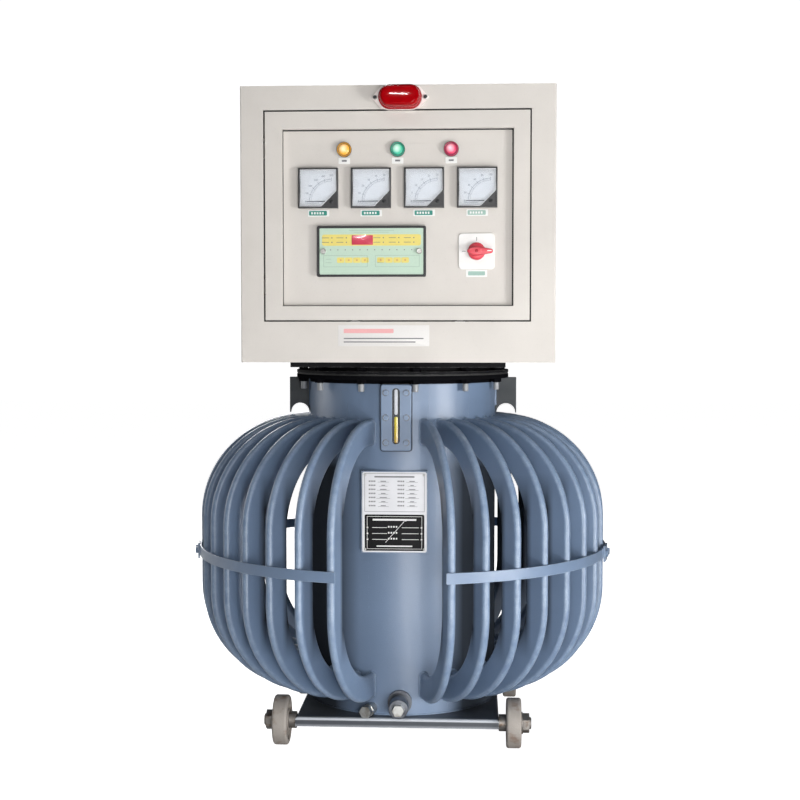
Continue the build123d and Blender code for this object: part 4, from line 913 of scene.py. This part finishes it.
def label_print():
    """Green bars on the meter labels and small grey marks on the others."""
    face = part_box("panel_labels")[0].y
    for number, x in enumerate(METER_XS, start=1):
        green = LABEL_GREEN if number < 4 else LABEL_GREEN_PALE
        bar = (x - 0.001, METER_LABEL_Z, 0.036, 0.0092)
        bars_piece(f"meter_label_bar_{number}", [bar], face, green, "door")
        ticks = [(x - 0.013 + i * 0.0055, METER_LABEL_Z, 0.0034, 0.0044) for i in range(5)]
        bars_piece(f"meter_label_marks_{number}", ticks, face - 0.0002, LABEL_WHITE, "door")
    marks = [(x, LAMP_LABEL_Z, 0.010, 0.0034) for _, x, _, _ in LAMPS]
    bars_piece("lamp_label_marks", marks, face, INK_GREY, "door")
    bar = (SWITCH_X, SWITCH_LABEL_Z, 0.034, 0.0082)
    bars_piece("switch_label_bar", [bar], face, LABEL_GREEN_PALE, "door")


def controller_print():
    """The control unit's printed face: a yellow band, a red window, dots and two outlined fields."""
    low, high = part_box("controller_fascia")
    mid, _, width, _ = span("controller_fascia")
    face, x0, z1 = low.y, low.x, high.z
    band_z = z1 - 0.0235
    band = [(mid, band_z, width - 0.010, 0.0225)]
    bars_piece("controller_band", band, face, FASCIA_YELLOW, "door")
    slab_piece("controller_window", (0.0425, 0.0190, 0.0008), x0 + 0.0860, band_z, face - 0.0012, face,
               0.0003, DISPLAY_RED, "door")
    lines = [(mid, z1 - 0.0045 - i * 0.0035, 0.090 - i * 0.020, 0.0006) for i in range(2)]
    dots = [(x0 + 0.022 + i * 0.0148, z1 - 0.0430, 0.0020, 0.0020) for i in range(12)]
    for row in (-0.0045, 0.0045):
        for start in (0.012, 0.041, 0.115, 0.146, 0.176):
            dots.append((x0 + start, band_z + row, 0.014, 0.0010))
            dots.append((x0 + start + 0.013, band_z + row, 0.0022, 0.0022))
    for start in (0.052, 0.156):
        x, z = x0 + start, z1 - 0.0655
        lines += border(x, z, 0.088, 0.0225, 0.0006)
        lines += [(x - 0.034, z + 0.004, 0.010, 0.0007), (x - 0.034, z - 0.003, 0.012, 0.0007)]
    bars_piece("controller_lines", lines, face, FASCIA_LINE, "door")
    bars_piece("controller_dots", dots, face - 0.0002, INK_GREY, "door")
    cells = [(x0 + start + i * 0.0162, z1 - 0.0635, 0.0152, 0.0108)
             for start in (0.0425, 0.1230) for i in range(4)]
    bars_piece("controller_cells", cells, face, FASCIA_YELLOW, "door")
    marks = [(x, z, 0.0035, 0.0035) for x, z, _, _ in cells]
    ink = printed("cell_mark", (0.62, 0.40, 0.16))
    bars_piece("controller_cell_marks", marks, face - 0.0002, ink, "door")


KNOB_R = 0.0175
KNOB_GRIP = ((-0.0195, 0.0012), (-0.0165, 0.0052), (-0.008, 0.0088), (0.000, 0.0100), (0.010, 0.0085),
             (0.022, 0.0055), (0.030, 0.0048), (0.0325, 0.0030))   # along the grip, half its width there


def switch_knob():
    """The turned skirt, the raised grip that tapers to its right-hand tip, and the screw cap."""
    node = "switch_knob"
    face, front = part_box("switch_housing")[0].y - 0.0005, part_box(node)[0].y + 0.0015
    place = [(SWITCH_X, SWITCH_Z)]
    skirt = [(0.0, face), (KNOB_R, face), (KNOB_R, face - 0.0035), (KNOB_R - 0.0012, face - 0.0065),
             (KNOB_R - 0.0040, face - 0.0080), (0.0, face - 0.0080)]
    knob = turned_piece("switch_skirt", skirt, place, RED_PLASTIC, "switch", 64, 45)
    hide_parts(node)
    bm = bmesh.new()
    outline = list(reversed(KNOB_GRIP)) + [(px, -half) for px, half in KNOB_GRIP]
    layers = ((1.06, face - 0.0005), (1.0, face - 0.009), (0.90, front + 0.0025), (0.76, front + 0.0006),
              (0.60, front))
    loft(bm, [
        flat_ring(bm, [(px * (0.65 + 0.35 * scale), pz * scale) for px, pz in outline], y, SWITCH_X, SWITCH_Z)
        for scale, y in layers
    ])
    grip = from_bmesh("switch_grip", bm, RED_PLASTIC, "switch", 50)
    smooth = grip.modifiers.new("smooth", "SUBSURF")
    smooth.levels = smooth.render_levels = 2
    cap = [(0.0032, front + 0.0006), (0.0032, front - 0.0006), (0.0024, front - 0.0010),
           (0.0, front - 0.0010)]
    turned_piece("switch_screw_cap", cap, place, DEEP_RED, "switch", 28)
    pointer = (SWITCH_X + 0.0255, SWITCH_Z, 0.009, 0.0016)
    bars_piece("switch_pointer", [pointer], front + 0.0004, LABEL_WHITE, "switch", 0.0006)


def switch_plate_marks():
    """The two position marks printed above and to the left of the knob."""
    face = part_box("switch_housing")[0].y
    marks = [(SWITCH_X, SWITCH_Z + 0.0245, 0.0012, 0.0075), (SWITCH_X - 0.0255, SWITCH_Z, 0.0075, 0.0012)]
    bars_piece("switch_marks", marks, face, INK_GREY, "door")


# ---- beacon ----
EAR_SCREW_X = 0.050      # the beacon's screws, from its middle


def beacon():
    """The beacon's stepped lens: a skirt against the base and a raised, flat-fronted bowl."""
    low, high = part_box("beacon_lens")
    x, z, width, height = span("beacon_lens")
    skirt = ((0.0, 0.0), (0.0, 0.0090), (0.0006, 0.0100), (0.0016, 0.0104), (0.0026, 0.0104),
             (0.0034, 0.0112))
    bowl = ((0.0042, 0.0060), (0.0050, 0.0028), (0.0066, 0.0009), (0.0088, 0.0001), (0.0100, 0.0))
    layers = [(inset, high.y - out) for inset, out in skirt] + [(inset, low.y + back) for inset, back in bowl]
    bm = bmesh.new()
    rings = []
    for inset, y in layers:
        corner = height / 2 - inset - 0.0005
        outline = rounded_outline(width - 2 * inset, height - 2 * inset, corner, 14)
        rings.append(flat_ring(bm, outline, y, x, z))
    loft(bm, rings, caps=False)
    bm.faces.new(rings[-1])
    lens = from_bmesh("beacon_dome", bm, BEACON_RED, "regulator", 40)
    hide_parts("beacon_lens")
    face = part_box("beacon_base")[0].y
    head = [(0.0038, face + 0.0005), (0.0038, face - 0.0026), (0.0028, face - 0.0034), (0.0, face - 0.0034)]
    places = [(x + side * EAR_SCREW_X, z) for side in (-1, 1)]
    turned_piece("beacon_screws", head, places, DARK, "regulator", 24)


# ---- cabinet details ----
ARM_HEIGHTS = (0.930, 1.204)   # where the hinge arms cross the gap
ARM_CLEARANCE = 0.020
SEAL_GAP, SEAL_WIDTH = 0.0004, 0.0023
LABEL_X, LABEL_Z = -0.0275, 0.8305
WINDOW_HALF, WINDOW_FOOT, WINDOW_TOP = 0.2310, 0.8900, 1.2420
# the seal's width at the top and right, widened there to paint the recess's shade; half of it at the foot and
# left
WINDOW_SEAL_AND_SHADE = 0.0026
CABLE_ENTRIES, CABLE_ENTRY_Z = (-0.12, 0.12), 0.850
TERMINALS, TERMINAL_PITCH = 12, 0.0125


def cabinet_label():
    """A plain label under the door: a pink bar over two grey lines."""
    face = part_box("cabinet_shell")[0].y
    ink = face - 0.0003
    slab_piece("cabinet_label", (0.183, 0.042, 0.0015), LABEL_X, LABEL_Z, ink, face, 0.0001,
               printed("label_clear", (0.73, 0.71, 0.69), 0.22), "regulator")
    bars = [(LABEL_X - 0.030, LABEL_Z + 0.0095, 0.100, 0.0085)]
    bars_piece("cabinet_label_bar", bars, ink, LABEL_PINK, "regulator")
    bars = [(LABEL_X, LABEL_Z - 0.0055, 0.160, 0.0022), (LABEL_X - 0.008, LABEL_Z - 0.0125, 0.144, 0.0022)]
    bars_piece("cabinet_label_lines", bars, ink, INK_GREY, "regulator")


def door_gasket():
    """The black rubber strip in the gap round the door, cut away where the hinge arms pass."""
    low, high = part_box("door_frame")
    inner, outer = SEAL_GAP, SEAL_GAP + SEAL_WIDTH
    left, right, foot, top = low.x - outer, high.x + outer, low.z - outer, high.z + outer
    strips = [(left, right, high.z + inner, top), (left, right, foot, low.z - inner),
              (high.x + inner, right, foot, top)]
    levels = [foot] + [z + side * ARM_CLEARANCE for z in ARM_HEIGHTS for side in (-1, 1)] + [top]
    strips += [(left, low.x - inner, z0, z1) for z0, z1 in zip(levels[0::2], levels[1::2])]
    bm = bmesh.new()
    for x0, x1, z0, z1 in strips:
        outline = rounded_outline(x1 - x0, z1 - z0, SEAL_WIDTH * 0.3, 2)
        add_slab(bm, outline, (x0 + x1) / 2, (z0 + z1) / 2, low.y + 0.0038, low.y + 0.0080)
    from_bmesh("door_gasket", bm, RUBBER, "regulator")


def window_gasket():
    """The black strip that seals the instrument panel against the door's window, twice as wide at the top and
    right, where it is painted shade of the recess.
    """
    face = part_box("instrument_panel")[0].y
    middle, height, thin = (WINDOW_FOOT + WINDOW_TOP) / 2, WINDOW_TOP - WINDOW_FOOT, WINDOW_SEAL_AND_SHADE / 2
    strips = ((0.0, WINDOW_TOP - thin, 2 * WINDOW_HALF, WINDOW_SEAL_AND_SHADE),
              (0.0, WINDOW_FOOT + thin / 2, 2 * WINDOW_HALF, thin),
              (WINDOW_HALF - thin, middle, WINDOW_SEAL_AND_SHADE, height),
              (-WINDOW_HALF + thin / 2, middle, thin, height))
    bm = bmesh.new()
    for x, z, across, up in strips:
        add_slab(bm, rounded_outline(across, up, min(across, up) * 0.3, 2), x, z, face - 0.0014, face)
    from_bmesh("window_gasket", bm, RUBBER, "door")


def panel_terminals():
    """Behind the panel: two studs with nuts on each meter, and the controller's screw terminals."""
    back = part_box("meter_cases")[1].y
    nut = ((0.0, 0.0046), (0.0056, 0.0044), (0.0058, 0.0002), (0.0, 0.0002))
    stud = ((0.0, 0.0122), (0.0020, 0.0120), (0.0026, 0.0112), (0.0026, 0.0040), (0.0, 0.0040))
    bm = bmesh.new()
    for x in METER_XS:
        for offset in (-0.018, 0.018):
            for section, sides in ((nut, 6), (stud, 20)):
                lathe(bm, [(radius, back + out) for radius, out in section], x + offset, METER_Z, sides)
    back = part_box("controller_case")[1].y
    middle = span("controller_case")[0]
    row_z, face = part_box("controller_case")[0].z + 0.022, back + 0.0100
    head = ((0.0036, -0.0004), (0.0036, 0.0008), (0.00252, 0.0016), (0.0, 0.0018))
    for i in range(TERMINALS):
        x = middle + (i - (TERMINALS - 1) / 2) * TERMINAL_PITCH
        lathe(bm, [(radius, face + out) for radius, out in head], x, row_z, 24)
    from_bmesh("panel_terminals", bm, ZINC, "door")
    size = (TERMINALS * TERMINAL_PITCH + 0.008, 0.019, 0.0015)
    slab_piece("terminal_strip", size, middle, row_z, back + 0.0001, face, 0.0008, PALE, "door")


def cable_grommets():
    """Rubber grommets in the cable entries of the back cover."""
    low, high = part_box("back_cover")
    profile = [(0.0165, high.y + 0.0035), (0.0215, high.y + 0.0035), (0.0235, high.y + 0.0020),
               (0.0235, high.y + 0.0002), (0.0198, high.y), (0.0198, low.y - 0.0002),
               (0.0228, low.y - 0.0002), (0.0220, low.y - 0.0025), (0.0165, low.y - 0.0025),
               (0.0165, high.y + 0.0035)]
    places = [(x, CABLE_ENTRY_Z) for x in CABLE_ENTRIES]
    turned_piece("cable_grommets", profile, places, RUBBER, "regulator")


# ---- stage ----
FLOOR_HALF = 14.0
FLOOR_LIFT = 0.97        # the floor's own glow towards the camera
SURROUND_LIGHT, SURROUND_SEEN = 0.035, 1.05   # the backdrop on the object, and as the camera sees it
LIGHTS = (                # name, place, target, width, height, watts
    ("key", (0.56, -3.1, 0.36), (0, 0, 0.46), 0.7, 1.4, 39),
    ("low", (0.34, -1.35, 0.12), (0.02, -0.1, 0.18), 0.5, 0.18, 3.9),
    ("top", (-0.2, -2.4, 3.2), (0, 0, 0.9), 1.2, 0.8, 11),
    ("right", (2.5, -1.9, 0.30), (0, 0, 0.25), 0.8, 1.0, 70),
    ("back", (-1.2, 3.0, 1.9), (0, 0, 0.7), 2.0, 1.6, 75),
    ("side", (-3.2, 0.9, 1.2), (0, 0, 0.6), 1.4, 1.6, 24),
    ("strip", (-0.169, -3.52, 1.900), (0.006, -0.238, 1.312), 0.330, 0.032, 10),
)


def seen_directly(tree):
    """1 for what the camera sees, 0 for light on its way to the object."""
    return tree.nodes.new("ShaderNodeLightPath").outputs["Is Camera Ray"]


def floor():
    """A pale floor that reads as white paper, with soft shadows under the wheels."""
    corners = ((-1, -1), (1, -1), (1, 1), (-1, 1))
    mesh = bpy.data.meshes.new("floor")
    mesh.from_pydata([(sx * FLOOR_HALF, sy * FLOOR_HALF, 0.0) for sx, sy in corners], [], [(0, 1, 2, 3)])
    ground = new_object("floor", mesh)
    s = Surface("floor_paint", (0.80, 0.80, 0.80), 0.7, Emission_Color=(1.0, 1.0, 1.0, 1.0))
    s.colour(s.mix(s.noise(1.5), (0.78, 0.78, 0.78), (0.84, 0.84, 0.84)))
    s.feed(s.shader.inputs["Emission Strength"], s.times(seen_directly(s.tree), FLOOR_LIFT))
    mesh.materials.append(s.material)


def surround():
    """A white backdrop whose light on the object is kept low, so gaps stay dark."""
    world = bpy.data.worlds.new("surround")
    world.use_nodes = True
    tree = world.node_tree
    background = tree.nodes["Background"]
    background.inputs["Color"].default_value = (1.0, 1.0, 1.0, 1.0)
    strength = tree.nodes.new("ShaderNodeMapRange")
    strength.inputs["To Min"].default_value = SURROUND_LIGHT
    strength.inputs["To Max"].default_value = SURROUND_SEEN
    tree.links.new(seen_directly(tree), strength.inputs["Value"])
    tree.links.new(strength.outputs["Result"], background.inputs["Strength"])
    bpy.context.scene.world = world


def softbox(name, place, target, width, height, power):
    """A rectangular soft light that faces its target."""
    light = bpy.data.lights.new(name, "AREA")
    light.shape = "RECTANGLE"
    light.size, light.size_y = width, height
    light.energy = power
    lamp = new_object(name, light)
    lamp.location = place
    lamp.rotation_euler = (Vector(target) - Vector(place)).to_track_quat("-Z", "Y").to_euler()


EYE = (0.1615, -2.9945, 0.8376)
EYE_HEADING, EYE_PITCH = radians(3.197), radians(-2.778)
LENS_MM, SENSOR_MM = 62.89, 36.0


def camera():
    """Stands three metres off, a little to the right of the centre line, just above the cabinet's floor."""
    data = bpy.data.cameras.new("camera")
    data.sensor_width = SENSOR_MM
    data.lens = LENS_MM
    eye = new_object("camera", data)
    eye.location = EYE
    level = cos(EYE_PITCH)
    view = Vector((-sin(EYE_HEADING) * level, cos(EYE_HEADING) * level, sin(EYE_PITCH)))
    eye.rotation_euler = view.to_track_quat("-Z", "Y").to_euler()
    bpy.context.scene.camera = eye


camera()
floor()
surround()
for row in LIGHTS:
    softbox(*row)
dress_cad_nodes()
tube_welds()
tank_seams()
lug_welds()
oil_sight_tube()
gauge_fittings()
nameplate_print()
meter_scales()
meter_hardware()
pilot_lamps()
label_print()
controller_print()
switch_knob()
switch_plate_marks()
beacon()
cabinet_label()
door_gasket()
window_gasket()
panel_terminals()
cable_grommets()
bpy.context.scene.view_settings.view_transform = "Standard"
